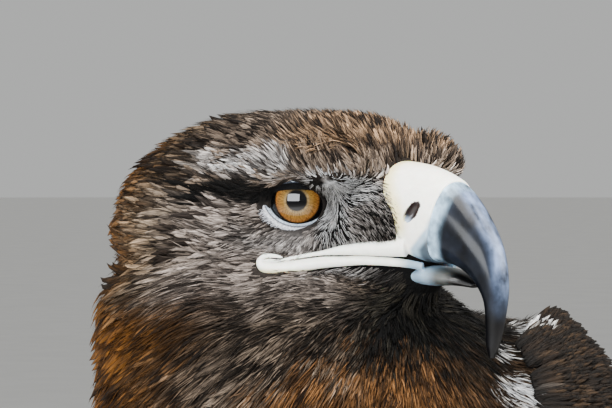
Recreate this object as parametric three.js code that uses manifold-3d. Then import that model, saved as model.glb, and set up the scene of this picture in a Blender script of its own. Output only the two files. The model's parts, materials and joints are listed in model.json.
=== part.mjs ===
// A golden eagle standing on its own feet, life size, in millimetres, +Z up.
// The body faces -Y and the head is turned to its left, towards +X. The floor is z = 0.

import * as THREE from 'three';
import Module from 'manifold-3d';
import { mergeVertices } from 'three/addons/utils/BufferGeometryUtils.js';

const wasm = await Module();
wasm.setup();

// Driving dimensions, mm
const GAP = 0.35;                    // clearance kept between touching pieces
const FINEST = 0.02;                 // edges shorter than this are left out of a cut
const EYE_HEIGHT = 620;              // middle of the eyes above the floor
const HEAD_AT = [18, -80];           // middle of the eyes, seen from above
const EYE_OUT = 18.5;                // eyeball centre from the middle of the head
const EYE_BACK = 6.6;                // eyeball centre behind the head's own origin
const EYE_UP = 0.8;
const EYEBALL = 12;                  // eyeball radius
const EYE_FORWARD_DEG = 36;          // how far the eyes turn from sideways to forwards
const LID_RING = 9.2;                // radius of the ring of the lids
const LID_THICK = 1.9;
const TAIL_ROOT = [118, 262];        // y, z of the end of the trunk
const TAIL_DOWN_DEG = 40;
const TAIL_LENGTH = 300;
const TAIL_SPREAD_DEG = 9;
const RECTRIX_WIDTH = 42;
const LEG_OUT = 52;                  // foot from the middle plane
const HEEL = [28, 118];              // y, z of the ankle
const FOOT_Y = -4;
const TOE_RADIUS = 7.6;
const TOE_START = 10;                // from the middle of the foot pad
const TOE_END = 4.6;                 // radius where the claw starts
const TOE_END_Z = 5.8;
const CLAW_RISE_DEG = 38;            // a claw leaves its toe rising, and comes down again
const CLAW_FALL_DEG = 57;

const UP = new THREE.Vector3(0, 0, 1);
const LEFT = new THREE.Vector3(1, 0, 0);
const rad = THREE.MathUtils.degToRad;
const lerp = THREE.MathUtils.lerp;
const V = (x, y, z) => new THREE.Vector3(x, y, z);

// Solids

function solidOf(geometry) {
  const bare = geometry.index ? geometry.toNonIndexed() : geometry.clone();
  bare.deleteAttribute('normal');
  bare.deleteAttribute('uv');
  const merged = mergeVertices(bare, 1e-4);
  const vertProperties = new Float32Array(merged.attributes.position.array);
  const triVerts = new Uint32Array(merged.index.array);
  const meshed = () => new wasm.Mesh({ numProp: 3, vertProperties, triVerts, tolerance: FINEST });
  const made = new wasm.Manifold(meshed());
  if (made.volume() > 0) return made;
  for (let i = 0; i < triVerts.length; i += 3) {
    [triVerts[i + 1], triVerts[i + 2]] = [triVerts[i + 2], triVerts[i + 1]];
  }
  return new wasm.Manifold(meshed());
}

function geometryOf(solid) {
  const mesh = solid.getMesh();
  const positions = new Float32Array(mesh.numVert * 3);
  for (let i = 0; i < mesh.numVert; i++) {
    positions.set(mesh.vertProperties.subarray(i * mesh.numProp, i * mesh.numProp + 3), i * 3);
  }
  const geometry = new THREE.BufferGeometry();
  geometry.setAttribute('position', new THREE.BufferAttribute(positions, 3));
  geometry.setIndex(new THREE.BufferAttribute(mesh.triVerts, 1));
  geometry.computeVertexNormals();
  return geometry;
}

const joined = (solids) => wasm.Manifold.union(solids);
const without = (solid, cutters) => cutters.reduce((a, b) => a.subtract(b), solid);

function largest(solid) {
  return solid.decompose().reduce((a, b) => (b.volume() > a.volume() ? b : a));
}

// A closed tube through rings of points, with a fan at each end.
function tubeGeometry(rings) {
  const n = rings[0].length;
  const positions = [];
  const index = [];
  rings.forEach((ring) => ring.forEach((p) => positions.push(p.x, p.y, p.z)));
  for (let i = 0; i + 1 < rings.length; i++) {
    for (let j = 0; j < n; j++) {
      const a = i * n + j;
      const b = i * n + ((j + 1) % n);
      index.push(a, b, b + n, a, b + n, a + n);
    }
  }
  [[0, true], [rings.length - 1, false]].forEach(([i, first]) => {
    const middle = rings[i].reduce((sum, p) => sum.add(p), V(0, 0, 0)).divideScalar(n);
    const c = positions.length / 3;
    positions.push(middle.x, middle.y, middle.z);
    for (let j = 0; j < n; j++) {
      const a = i * n + j;
      const b = i * n + ((j + 1) % n);
      if (first) index.push(b, a, c);
      else index.push(a, b, c);
    }
  });
  return indexed(positions, index);
}

// A closed plate between two grids of points, split alike on both faces.
function plateGeometry(top, bottom) {
  const rows = top.length;
  const cols = top[0].length;
  const positions = [];
  [top, bottom].forEach((grid) => grid.flat().forEach((p) => positions.push(p.x, p.y, p.z)));
  const index = [];
  const at = (i, j) => i * cols + j;
  const under = rows * cols;
  for (let i = 0; i + 1 < rows; i++) {
    for (let j = 0; j + 1 < cols; j++) {
      const [a, b, c, d] = [at(i, j), at(i, j + 1), at(i + 1, j + 1), at(i + 1, j)];
      index.push(a, b, c, a, c, d);
      index.push(a + under, c + under, b + under, a + under, d + under, c + under);
    }
  }
  const wall = (a, b) => index.push(b, a, a + under, b, a + under, b + under);
  for (let j = 0; j + 1 < cols; j++) {
    wall(at(0, j), at(0, j + 1));
    wall(at(rows - 1, j + 1), at(rows - 1, j));
  }
  for (let i = 0; i + 1 < rows; i++) {
    wall(at(i + 1, 0), at(i, 0));
    wall(at(i, cols - 1), at(i + 1, cols - 1));
  }
  return indexed(positions, index);
}

function indexed(positions, index) {
  const geometry = new THREE.BufferGeometry();
  geometry.setAttribute('position', new THREE.Float32BufferAttribute(positions, 3));
  geometry.setIndex(index);
  return geometry;
}

// Rings round a spine. A station is [x, y, z, half width along X, half depth].
function stationLoft(stations) {
  const spine = new THREE.CatmullRomCurve3(stations.map((s) => V(s[0], s[1], s[2])));
  const size = new THREE.CatmullRomCurve3(stations.map((s) => V(s[3], s[4], 0)));
  return function place(s, phi, grow = 0) {
    const tangent = spine.getPoint(Math.min(1, s + 0.08)).sub(spine.getPoint(Math.max(0, s - 0.08)));
    tangent.setX(0).normalize();
    const back = tangent.clone().cross(LEFT).normalize();
    const side = back.clone().cross(tangent).normalize();
    const half = size.getPoint(s);
    return spine.getPoint(s)
      .addScaledVector(side, (half.x + grow) * Math.sin(phi))
      .addScaledVector(back, (half.y + grow) * Math.cos(phi));
  };
}

function loftSolid(place, from, to, steps, sides, grow = 0) {
  const rings = [];
  for (let i = 0; i <= steps; i++) {
    const s = lerp(from, to, i / steps);
    const ring = [];
    for (let j = 0; j < sides; j++) ring.push(place(s, (2 * Math.PI * j) / sides, grow));
    rings.push(ring);
  }
  return solidOf(tubeGeometry(rings));
}

// Feathers

const QUILL_ROWS = [[0, 0.5], [0.4, 1], [0.8, 0.86], [1, 0.16]];     // place along it, share of its width
const COVERT_ROWS = [[0, 0.5], [0.62, 1], [1, 0.25]];
const LOCK_ROWS = [[0, 0.6], [0.45, 1], [1, 0.08]];
const ROLL = 1.7;                    // how far a feather's edge is lifted over its neighbour
const RISE = 0.45;                   // share of its length over which a feather comes out of the body

// One feather laid on a surface: at(a, b, lift) is a point of that surface, and the feather runs from
// one [a, b] to another, rising from its first lift to its last. roll lifts one edge over its neighbour.
function feather(at, rows, from, to, half, lifts, thick, roll, grow) {
  const point = (s, lift) => at(lerp(from[0], to[0], s), lerp(from[1], to[1], s), lift);
  const top = [];
  const bottom = [];
  rows.forEach(([s, share]) => {
    const middle = point(s, lerp(lifts[0], lifts[1], Math.min(1, s / RISE)));
    const along = point(Math.min(1, s + 0.03), 0).sub(point(Math.max(0, s - 0.03), 0)).normalize();
    const out = point(s, 1).sub(point(s, 0)).normalize();
    const across = along.clone().cross(out).normalize();
    const w = half * share + grow;
    const t = (thick / 2) * (s === 1 ? 0.6 : 1) + grow;
    if (grow && (s === 0 || s === 1)) middle.addScaledVector(along, s === 1 ? grow : -grow);
    const edge = (k, up) => middle.clone().addScaledVector(across, k * w)
      .addScaledVector(out, k * roll * share + up * t);
    top.push([edge(-1, 1), edge(1, 1)]);
    bottom.push([edge(-1, -1), edge(1, -1)]);
  });
  return solidOf(plateGeometry(top, bottom));
}

// Seeded scatter, so that no two feathers are quite alike
function seeded(seed) {
  let state = seed;
  return (spread) => {
    state = (state * 16807) % 2147483647;
    return spread * ((2 * state) / 2147483647 - 1);
  };
}

// A row of feathers side by side. A tier is [start, length, first and last place across, count,
// half width, lift of the root, lift of the tip, thickness].
function row(at, tier, seed, grow, shape = COVERT_ROWS) {
  const [start, length, first, last, count, half, low, high, thick] = tier;
  const jitter = seeded(seed);
  return Array.from({ length: count }, (_, i) => {
    const across = lerp(first, last, count > 1 ? i / (count - 1) : 0.5);
    const shift = jitter(0.012);
    return feather(at, shape, [start + shift, across],
      [start + length * (1 + jitter(0.08)) + shift, across + jitter(0.01)],
      half, [low, high + jitter(0.4)], thick, ROLL, grow);
  });
}

// Trunk: tail root to the top of the neck

const TRUNK = [
  [0, TAIL_ROOT[0], TAIL_ROOT[1], 20, 15],
  [0, 95, 283, 42, 36],
  [0, 58, 318, 68, 66],
  [0, 18, 366, 88, 86],
  [0, -20, 424, 98, 97],
  [0, -48, 480, 101, 97],
  [-1, -63, 528, 94, 90],
  [-7, -74, 565, 79, 75],
  [-18, -79, 588, 69, 60],
  [-22, -80, 606, 50, 38],
];
const trunkPlace = stationLoft(TRUNK);
const NECK_S = 0.718;                // where the neck meets the torso
const TRUNK_SIDES = 22;

function torsoSolid(grow = 0) {
  return loftSolid(trunkPlace, 0, NECK_S - 0.0005, 12, TRUNK_SIDES, grow);
}

// Pointed feathers of the neck, hanging from under the head
const HACKLES = [
  [0.985, -0.165, 0, 5.5, 8, 19, -6, 4.5, 1.6],
  [0.87, -0.16, 0.35, 5.93, 9, 23, -6, 5, 1.6],
];

function neckSolid(grow = 0) {
  const locks = HACKLES.flatMap((tier, i) => row(trunkPlace, tier, 41 + i, grow, LOCK_ROWS));
  return joined([loftSolid(trunkPlace, NECK_S + 0.0005, 1, 6, TRUNK_SIDES, grow), ...locks]);
}

// Head, in its own frame: x forwards, y to its left, z up, origin between the eyes

const mixed = (a, b, k) => {
  const h = Math.min(Math.max(0.5 + (0.5 * (b - a)) / k, 0), 1);
  return lerp(b, a, h) - k * h * (1 - h);
};

function ellipsoid(p, c, r) {
  const q = V((p.x - c[0]) / r[0], (p.y - c[1]) / r[1], (p.z - c[2]) / r[2]);
  const g = V(q.x / r[0], q.y / r[1], q.z / r[2]);
  const k = q.length();
  return (k * (k - 1)) / Math.max(g.length(), 1e-6);
}

function taper(p, a, b, ra, rb) {
  const from = V(...a);
  const along = V(...b).sub(from);
  const q = p.clone().sub(from);
  const t = Math.min(Math.max(q.dot(along) / along.lengthSq(), 0), 1);
  return q.addScaledVector(along, -t).length() - lerp(ra, rb, t);
}

// Distance to the head's surface, feathers lying flat.
function headDistance(p) {
  const q = V(p.x, -Math.abs(p.y), p.z);
  let d = ellipsoid(q, [-26, 0, 3], [50, 37, 30]);
  d = mixed(d, ellipsoid(q, [2, 0, 8], [26.5, 27, 22]), 7);
  d = mixed(d, taper(q, [-10, 0, -6], [24.5, 0, -6], 29, 17.5), 8);
  d = mixed(d, taper(q, [-26, -29, 7], [22, -26, 13.5], 8, 7.5), 5);
  d = mixed(d, ellipsoid(q, [-28, 0, -22], [42, 34, 26]), 9);
  d = mixed(d, taper(q, [-5, 0, -27], [30, 0, -25], 17, 9), 6);
  d = mixed(d, ellipsoid(q, [-55, 0, -11], [44, 43, 37]), 12);
  return -mixed(-d, ellipsoid(q, [2, -37, -2], [13, 13, 11]), 3);
}

const HEAD_MIDDLE = V(-18, 0, -4);

function headSolid(grow = 0, sides = 28, steps = 20) {
  const ball = new THREE.SphereGeometry(1, sides, steps);
  ball.rotateX(Math.PI / 2);
  const at = ball.attributes.position;
  for (let i = 0; i < at.count; i++) {
    const way = V(at.getX(i), at.getY(i), at.getZ(i)).normalize();
    let reach = 110;
    for (let k = 0; k < 60; k++) {
      reach -= 0.8 * headDistance(HEAD_MIDDLE.clone().addScaledVector(way, reach));
    }
    const p = HEAD_MIDDLE.clone().addScaledVector(way, reach + grow);
    at.setXYZ(i, p.x, p.y, p.z);
  }
  return solidOf(ball);
}

const eyeWay = (side) => V(Math.sin(rad(EYE_FORWARD_DEG)), side * Math.cos(rad(EYE_FORWARD_DEG)), 0);
const eyeCentre = (side) => V(-EYE_BACK, side * EYE_OUT, EYE_UP);

function eyeSolid(side, grow = 0) {
  const ball = new THREE.SphereGeometry(EYEBALL + grow, 12, 9);
  ball.rotateX(Math.PI / 2);
  const c = eyeCentre(side);
  return solidOf(ball.translate(c.x, c.y, c.z));
}

function lidSolid(side) {
  const ring = new THREE.TorusGeometry(LID_RING, LID_THICK, 4, 16);
  ring.scale(1.06, 0.94, 1);
  ring.rotateX(Math.PI / 2);
  ring.rotateZ(-side * rad(EYE_FORWARD_DEG));
  const c = eyeCentre(side).addScaledVector(eyeWay(side), EYEBALL * 0.62);
  return solidOf(ring.translate(c.x, c.y, c.z));
}

// A section of the bill runs from a point on its ridge to one below, [x, z], and has a half width.
function billSolid(sections, square, steps, sides, grow = 0) {
  const ridge = new THREE.CatmullRomCurve3(sections.map((s) => V(s[0], 0, s[1])));
  const under = new THREE.CatmullRomCurve3(sections.map((s) => V(s[2], 0, s[3])));
  const width = new THREE.CatmullRomCurve3(sections.map((s) => V(s[4], 0, 0)));
  const rings = [];
  for (let i = 0; i <= steps; i++) {
    const s = i / steps;
    const top = ridge.getPoint(s);
    const low = under.getPoint(s);
    const middle = top.clone().add(low).multiplyScalar(0.5);
    const up = top.clone().sub(middle);
    up.setLength(up.length() + grow);
    const half = width.getPoint(s).x + grow;
    const ring = [];
    for (let j = 0; j < sides; j++) {
      const a = (2 * Math.PI * j) / sides;
      const power = Math.cos(a) < 0 ? square : 1;
      const c = Math.sign(Math.cos(a)) * Math.abs(Math.cos(a)) ** power;
      const w = Math.sign(Math.sin(a)) * Math.abs(Math.sin(a)) ** square;
      ring.push(middle.clone().addScaledVector(up, c).add(V(0, half * w, 0)));
    }
    rings.push(ring);
  }
  return solidOf(tubeGeometry(rings));
}

// [ridge x, z, underside x, z, half width]
const UPPER_BILL = [
  [12, 15, 12, -18.6, 17],
  [27, 14.2, 27, -19.4, 15],
  [40, 12, 40, -20.2, 12.6],
  [52, 6.6, 50, -21.2, 10.6],
  [62.4, -4.6, 56, -23.6, 8.8],
  [68.8, -16, 60.5, -27.4, 7],
  [71.2, -29, 64, -33.5, 5.2],
  [70.1, -41, 64.3, -42, 3.6],
  [67.7, -49.2, 64.2, -49.5, 1.9],
  [65.4, -53.6, 64.6, -52.8, 0.5],
];
const LOWER_BILL = [
  [8, -20.6, 8, -30.4, 15],
  [26, -21, 26, -30, 12.4],
  [42, -21.8, 42, -28.8, 10],
  [54, -24.4, 53, -28.6, 7.4],
  [59.6, -27.6, 58, -29.2, 2.6],
];
const CERE_EDGE = { top: [51, 9], low: [43, -24] };   // where the horn of the bill starts, x and z

// A thick slab in front of the cere's slanting edge.
function hornSide(grow) {
  const slab = new THREE.BoxGeometry(60, 60, 120);
  const [tx, tz] = CERE_EDGE.top;
  const [lx, lz] = CERE_EDGE.low;
  slab.translate(30 - grow, 0, 0);
  slab.rotateY(Math.atan2(tx - lx, tz - lz));
  return solidOf(slab.translate((tx + lx) / 2, 0, (tz + lz) / 2));
}

function nostrilCutter(side) {
  const oval = new THREE.SphereGeometry(1, 10, 8);
  oval.scale(1.9, 3.2, 3.8);
  oval.rotateY(rad(24));
  return solidOf(oval.translate(40.5, side * 13.2, -2.5));
}

// A fleshy lip from the corner of the mouth to the bill.
function lipSolid(side, drop, thick) {
  const line = new THREE.CatmullRomCurve3([
    V(-15, side * 30.5, -20.2),
    V(-4, side * 29.4, -19.8 + drop * 0.8),
    V(12, side * 24.6, -18.6 + drop),
    V(28, side * 16.2, -18.8 + drop),
    V(40, side * 10.5, -20.2 + drop),
  ]);
  const rings = [];
  for (let i = 0; i <= 7; i++) {
    const s = i / 7;
    const r = thick * (0.55 + 0.45 * Math.sin(Math.PI * Math.min(1, s * 1.6 + 0.12)));
    const ring = [];
    for (let j = 0; j < 6; j++) {
      const a = (2 * Math.PI * j) / 6;
      ring.push(line.getPoint(s).add(V(0, r * 1.1 * Math.cos(a), r * Math.sin(a))));
    }
    rings.push(ring);
  }
  return solidOf(tubeGeometry(rings));
}

// Folded wing: a lower and an upper edge, bowed out between them, for the left side

const WING_LOW = [
  V(88, -112, 510), V(101, -104, 455), V(106, -50, 385), V(92, 22, 318),
  V(76, 110, 246), V(58, 208, 186), V(34, 322, 108),
];
const WING_HIGH = [
  V(70, -50, 572), V(44, 2, 578), V(20, 54, 512), V(11, 96, 412),
  V(10, 148, 308), V(12, 222, 216), V(15, 330, 118),
];
const WING_BOW = [20, 42, 52, 36, 20, 11, 3];
const WING_THICK = [14, 18, 18, 15, 11, 8, 4];
const wingLow = new THREE.CatmullRomCurve3(WING_LOW);
const wingHigh = new THREE.CatmullRomCurve3(WING_HIGH);
const wingBow = new THREE.CatmullRomCurve3(WING_BOW.map((b, i) => V(b, WING_THICK[i], 0)));

function wingFrame(u) {
  const low = wingLow.getPoint(u);
  const high = wingHigh.getPoint(u);
  const across = high.clone().sub(low);
  const along = wingLow.getTangent(u).add(wingHigh.getTangent(u)).normalize();
  const out = along.clone().cross(across).normalize();
  if (out.x < 0) out.negate();
  return { low, across, out, bow: wingBow.getPoint(u).x, thick: wingBow.getPoint(u).y };
}

function wingPoint(u, t, lift = 0) {
  const f = wingFrame(u);
  const slope = (4 * f.bow * (1 - 2 * t)) / f.across.length();
  const normal = f.out.clone().addScaledVector(f.across.clone().normalize(), -slope).normalize();
  return f.low.clone().addScaledVector(f.across, t)
    .addScaledVector(f.out, f.bow * 4 * t * (1 - t))
    .addScaledVector(normal, lift);
}

const WING_SPLIT = 0.47;             // share of the wing's length where the arm ends
const WING_CORE_END = 0.74;          // beyond it there are only the tips of feathers

function wingCore(from, to, rows, grow = 0) {
  const cols = 7;
  const top = [];
  const bottom = [];
  for (let i = 0; i <= rows; i++) {
    const u = lerp(from, to, i / rows);
    const f = wingFrame(u);
    const outer = [];
    const inner = [];
    for (let j = 0; j <= cols; j++) {
      const t = j / cols;
      const depth = 2.5 + f.thick * 2 * t * (1 - t) + grow;
      outer.push(wingPoint(u, t, grow));
      inner.push(f.low.clone().addScaledVector(f.across, t).addScaledVector(f.out, -depth));
    }
    top.push(outer);
    bottom.push(inner);
  }
  return solidOf(plateGeometry(top, bottom));
}

const COVERTS = [
  [0.012, 0.125, 0.1, 0.84, 4, 17, -6, 5.5, 1.6],
  [0.085, 0.16, 0.05, 0.93, 5, 18, -6, 6, 1.6],
  [0.18, 0.18, 0.05, 0.94, 5, 18, -6, 6, 1.6],
  [0.29, 0.235, 0.03, 0.95, 6, 16, -6, 6, 1.6],
];
const SECONDARIES = [0.485, 0.27, 0.05, 0.8, 6, 13, -6, 2.4, 1.4];
// [place of the root, place of the tip, across at the root, across at the tip, half width, lift]
const PRIMARIES = [
  [0.62, 1, 0.5, 0.55, 12, 3.5],
  [0.61, 0.96, 0.38, 0.42, 13, 1.4],
  [0.6, 0.92, 0.27, 0.3, 13, -0.7],
  [0.59, 0.88, 0.16, 0.19, 13, -2.8],
];
const TERTIALS = [
  [0.5, 0.83, 0.92, 0.88, 15, 7],
  [0.49, 0.79, 0.76, 0.74, 15, 4.8],
];

function armSolid(grow = 0) {
  const tiers = COVERTS.flatMap((tier, i) => row(wingPoint, tier, 11 + i, grow));
  return joined([wingCore(0, WING_SPLIT, 9, grow), ...tiers]);
}

function flightSolid(grow = 0) {
  const long = (list) => list.map(([u0, u1, t0, t1, half, lift]) =>
    feather(wingPoint, QUILL_ROWS, [u0, t0], [u1, t1], half, [-7, lift], 1.6, 0.6, grow));
  return joined([wingCore(WING_SPLIT + 0.0008, WING_CORE_END, 5, grow),
    ...long(PRIMARIES), ...row(wingPoint, SECONDARIES, 23, grow), ...long(TERTIALS)]);
}

// Tail, along its own slope from the end of the trunk

const tailDown = rad(TAIL_DOWN_DEG);
const TAIL_ALONG = V(0, Math.cos(tailDown), -Math.sin(tailDown));
const TAIL_OUT = V(0, Math.sin(tailDown), Math.cos(tailDown));

function tailPoint(along, side, lift) {
  return V(side, TAIL_ROOT[0], TAIL_ROOT[1])
    .addScaledVector(TAIL_ALONG, along)
    .addScaledVector(TAIL_OUT, lift);
}

const RECTRICES = 12;
const TAIL_COVERTS = [[7, 4, 112, 17], [-8, 4, 100, 18]];      // lift, count, length, half width

function tailSolid(grow = 0) {
  const core = [];
  [0, 1].forEach((s) => {
    const half = lerp(18, 26, s) + grow;
    const thick = lerp(11, 4, s) + grow;
    core.push([-1, -0.5, 0.5, 1].map((k) => [k * half, thick * (1 - 0.4 * Math.abs(k))]));
  });
  const grid = (up) => core.map((points, i) => points.map(([x, lift]) =>
    tailPoint(i ? TAIL_LENGTH * 0.34 : 1, x, up * lift)));
  const middle = (RECTRICES - 1) / 2;
  const vanes = Array.from({ length: RECTRICES }, (_, i) => {
    const k = (i - middle) / middle;
    const below = Math.abs(2 * i - RECTRICES + 1.5);      // the middle pair lies on top
    const reach = TAIL_LENGTH * (1 - 0.06 * k * k);
    const out = rad(TAIL_SPREAD_DEG) * k;
    return feather(tailPoint, QUILL_ROWS, [60, 12 * k],
      [reach * Math.cos(out), 12 * k + (reach - 60) * Math.sin(out)],
      RECTRIX_WIDTH / 2, [4 - below, 4 - below], 0.9, 0, grow);
  });
  const coverts = TAIL_COVERTS.flatMap(([lift, count, length, half]) =>
    Array.from({ length: count }, (_, i) => {
      const k = (2 * i) / (count - 1) - 1;
      return feather(tailPoint, COVERT_ROWS, [6, 12 * k], [length * (1 - 0.12 * k * k), 30 * k],
        half, [lift, Math.sign(lift) * (16 - 2 * i)], 1.6, 0, grow);
    }));
  return joined([solidOf(plateGeometry(grid(1), grid(-1))), ...vanes, ...coverts]);
}

// Legs and feet, for the left side

const THIGH = [
  [56, 8, 392, 20, 34],
  [60, 0, 340, 38, 58],
  [60, 0, 288, 42, 62],
  [58, 6, 232, 40, 57],
  [56, 15, 176, 34, 47],
  [LEG_OUT + 2, 23, 136, 27, 34],
  [LEG_OUT + 1, HEEL[0] - 2, HEEL[1] - 4, 22, 27],
  [LEG_OUT, 22, 84, 18, 20],
];
const THIGH_END = 7 / 8;             // the heel's share of that loft; below it only feathers hang
const TROUSERS = [
  [0.36, 0.28, 0, 5.03, 5, 24, -6, 5.5, 1.8],
  [0.56, 0.25, 0.6, 5.63, 5, 23, -6, 5.5, 1.8],
  [0.72, 0.27, 0, 5.03, 5, 18, -5, 5, 1.8],
];
const TARSUS = [
  [LEG_OUT, HEEL[0] + 0.5, HEEL[1] - 0.8, 16, 18.5],
  [LEG_OUT, 20, 84, 16, 17.5],
  [LEG_OUT, 8, 44, 15.5, 17],
  [LEG_OUT, FOOT_Y + 2, 19, 16, 17],
];
const thighPlace = stationLoft(THIGH);
const tarsusPlace = stationLoft(TARSUS);

function thighSolid() {
  const locks = TROUSERS.flatMap((tier, i) => row(thighPlace, tier, 61 + i, 0, LOCK_ROWS));
  return joined([loftSolid(thighPlace, 0, THIGH_END, 7, 11), ...locks]);
}

// [name, heading from straight ahead in degrees, length, claw length]
const TOES = [
  ['inner', -25, 52, 40],
  ['middle', 4, 66, 34],
  ['outer', 42, 52, 30],
  ['hind', 188, 40, 46],
];

function toeSolid(heading, length, grow = 0) {
  const way = V(Math.sin(rad(heading)), -Math.cos(rad(heading)), 0);
  const side = V(way.y, -way.x, 0);
  const rings = [];
  const steps = 6;
  for (let i = 0; i <= steps; i++) {
    const s = i / steps;
    const knuckle = 1 + 0.09 * Math.cos(s * Math.PI * 6);
    const r = (i === steps ? TOE_END : (TOE_RADIUS - 1.6 * s) * knuckle) + grow;
    const c = V(LEG_OUT, FOOT_Y, 0).addScaledVector(way, TOE_START + length * s);
    c.z = lerp(14, TOE_END_Z, Math.min(1, s * 1.7));
    const ring = [];
    for (let j = 0; j < 8; j++) {
      const a = (2 * Math.PI * (j + 0.5)) / 8;
      const p = c.clone().addScaledVector(side, r * Math.cos(a)).addScaledVector(UP, r * Math.sin(a));
      p.z = Math.max(p.z, grow ? -1 : 0);
      ring.push(p);
    }
    rings.push(ring);
  }
  return solidOf(tubeGeometry(rings));
}

function clawSolid(heading, length, claw) {
  const way = V(Math.sin(rad(heading)), -Math.cos(rad(heading)), 0);
  const side = V(way.y, -way.x, 0);
  const start = V(LEG_OUT, FOOT_Y, TOE_END_Z).addScaledVector(way, TOE_START + length + GAP);
  const rise = rad(CLAW_RISE_DEG);
  const turn = rise + rad(CLAW_FALL_DEG);
  const radius = claw / turn;
  const rings = [];
  const steps = 5;
  for (let i = 0; i <= steps; i++) {
    const s = i / steps;
    const a = turn * s - rise;
    const out = way.clone().multiplyScalar(Math.sin(a)).addScaledVector(UP, Math.cos(a));
    const c = start.clone()
      .addScaledVector(way, radius * (Math.sin(a) + Math.sin(rise)))
      .addScaledVector(UP, radius * (Math.cos(a) - Math.cos(rise)));
    if (i === 0) out.copy(UP);
    const r = lerp(TOE_END, 0.35, s ** 0.85);
    const ring = [];
    for (let j = 0; j < 5; j++) {
      const b = (2 * Math.PI * j) / 5;
      const p = c.clone().addScaledVector(side, 0.85 * r * Math.cos(b)).addScaledVector(out, r * Math.sin(b));
      p.z = Math.max(p.z, 0.4);
      ring.push(p);
    }
    rings.push(ring);
  }
  return solidOf(tubeGeometry(rings));
}

function footPad(grow = 0) {
  const pad = new THREE.SphereGeometry(1, 10, 7);
  pad.rotateX(Math.PI / 2);
  pad.scale(13.5 + grow, 14.5 + grow, 11 + grow);
  pad.translate(LEG_OUT, FOOT_Y, 9.5);
  const at = pad.attributes.position;
  for (let i = 0; i < at.count; i++) at.setZ(i, Math.max(at.getZ(i), grow ? -1 : 0));
  return solidOf(pad);
}

// Colours

const finish = (color, roughness, metalness = 0) =>
  new THREE.MeshStandardMaterial({ color, roughness, metalness });
const darkBrown = finish(0x3a2a20, 0.9);
const warmBrown = finish(0x5a4230, 0.9);
const goldBrown = finish(0x8a6236, 0.9);
const flight = finish(0x2c221c, 0.85);
const paleSkin = finish(0xe8e2c4, 0.5);
const horn = finish(0x2e3640, 0.3);
const yellowSkin = finish(0xd9b23c, 0.55);
const black = finish(0x17161a, 0.35);
const amber = finish(0xa8682a, 0.1);

const eagle = new THREE.Group();

function addNode(name, solid, material) {
  const mesh = new THREE.Mesh(geometryOf(largest(solid)), material);
  mesh.name = name;
  eagle.add(mesh);
}

const toWorld = (solid) => solid.translate([HEAD_AT[0], HEAD_AT[1], EYE_HEIGHT]);
const mirrored = (solid) => {
  const geometry = geometryOf(solid);
  return solidOf(geometry.scale(-1, 1, 1));
};

// Assembly

const headWhole = joined([headSolid(), lidSolid(-1), lidSolid(1)]);
const headGrown = headSolid(GAP);
const upperBill = billSolid(UPPER_BILL, 0.8, 18, 12);
const upperGrown = billSolid(UPPER_BILL, 0.8, 18, 12, GAP);
const lowerBill = billSolid(LOWER_BILL, 0.8, 10, 12);
const lips = [-1, 1].map((side) => lipSolid(side, 1.9, 1.9));
const lowLips = [-1, 1].map((side) => lipSolid(side, -2.6, 2.2));
const cere = joined([upperBill, ...lips])
  .subtract(hornSide(GAP))
  .subtract(headGrown);
const nostrils = [nostrilCutter(-1), nostrilCutter(1)];

addNode('head', toWorld(without(headWhole, [eyeSolid(-1, GAP), eyeSolid(1, GAP)])), darkBrown);
addNode('cere', toWorld(without(cere, nostrils)), paleSkin);
addNode('upper_bill', toWorld(upperBill.intersect(hornSide(0))), horn);
addNode('lower_bill', toWorld(without(joined([lowerBill, ...lowLips]), [headGrown, upperGrown,
  ...[-1, 1].map((side) => lipSolid(side, 1.9, 1.9 + GAP))])), paleSkin);
addNode('eye_right', toWorld(eyeSolid(-1)), amber);
addNode('eye_left', toWorld(eyeSolid(1)), amber);

const torso = torsoSolid();
const torsoGrown = torsoSolid(GAP);
const lowerGrown = billSolid(LOWER_BILL, 0.8, 10, 12, GAP);
const faceGrown = [headSolid(3.3, 24, 17), lowerGrown];
addNode('torso', torso, warmBrown);
addNode('neck', without(neckSolid(), faceGrown.map(toWorld)), goldBrown);

addNode('tail', tailSolid().subtract(torsoGrown), flight);

const seamGrown = loftSolid(trunkPlace, NECK_S - 0.001, NECK_S + 0.001, 1, TRUNK_SIDES, GAP);
const bodyGrown = joined([torsoGrown, seamGrown, neckSolid(GAP), tailSolid(GAP)]);
const arm = armSolid();
const armGrown = armSolid(GAP);
const quills = flightSolid().subtract(armGrown);
const tarsus = loftSolid(tarsusPlace, 0, 1, 6, 12);
const tarsusGrown = loftSolid(tarsusPlace, 0, 1, 6, 12, GAP);
const thigh = without(thighSolid(), [bodyGrown, armGrown, flightSolid(GAP), tarsusGrown]);

[['left', (s) => s], ['right', mirrored]].forEach(([sideName, put]) => {
  addNode(`wing_${sideName}`, put(arm).subtract(bodyGrown), flight);
  addNode(`quills_${sideName}`, put(quills).subtract(bodyGrown), flight);
  addNode(`thigh_${sideName}`, put(thigh), goldBrown);
  addNode(`tarsus_${sideName}`, put(tarsus), goldBrown);
  addNode(`foot_${sideName}`, put(footPad().subtract(tarsusGrown)), yellowSkin);
  TOES.forEach(([toeName, heading, length, claw], i) => {
    const others = TOES.slice(0, i).map((t) => toeSolid(t[1], t[2], GAP));
    const toe = without(toeSolid(heading, length), [footPad(GAP), tarsusGrown, ...others]);
    addNode(`toe_${toeName}_${sideName}`, put(toe), yellowSkin);
    addNode(`claw_${toeName}_${sideName}`, put(clawSolid(heading, length, claw)), black);
  });
});

// The origin is on the floor, under the middle of the bounding box
const box = new THREE.Box3().setFromObject(eagle);
eagle.position.set(-(box.min.x + box.max.x) / 2, -(box.min.y + box.max.y) / 2, 0);

export default eagle;
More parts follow.
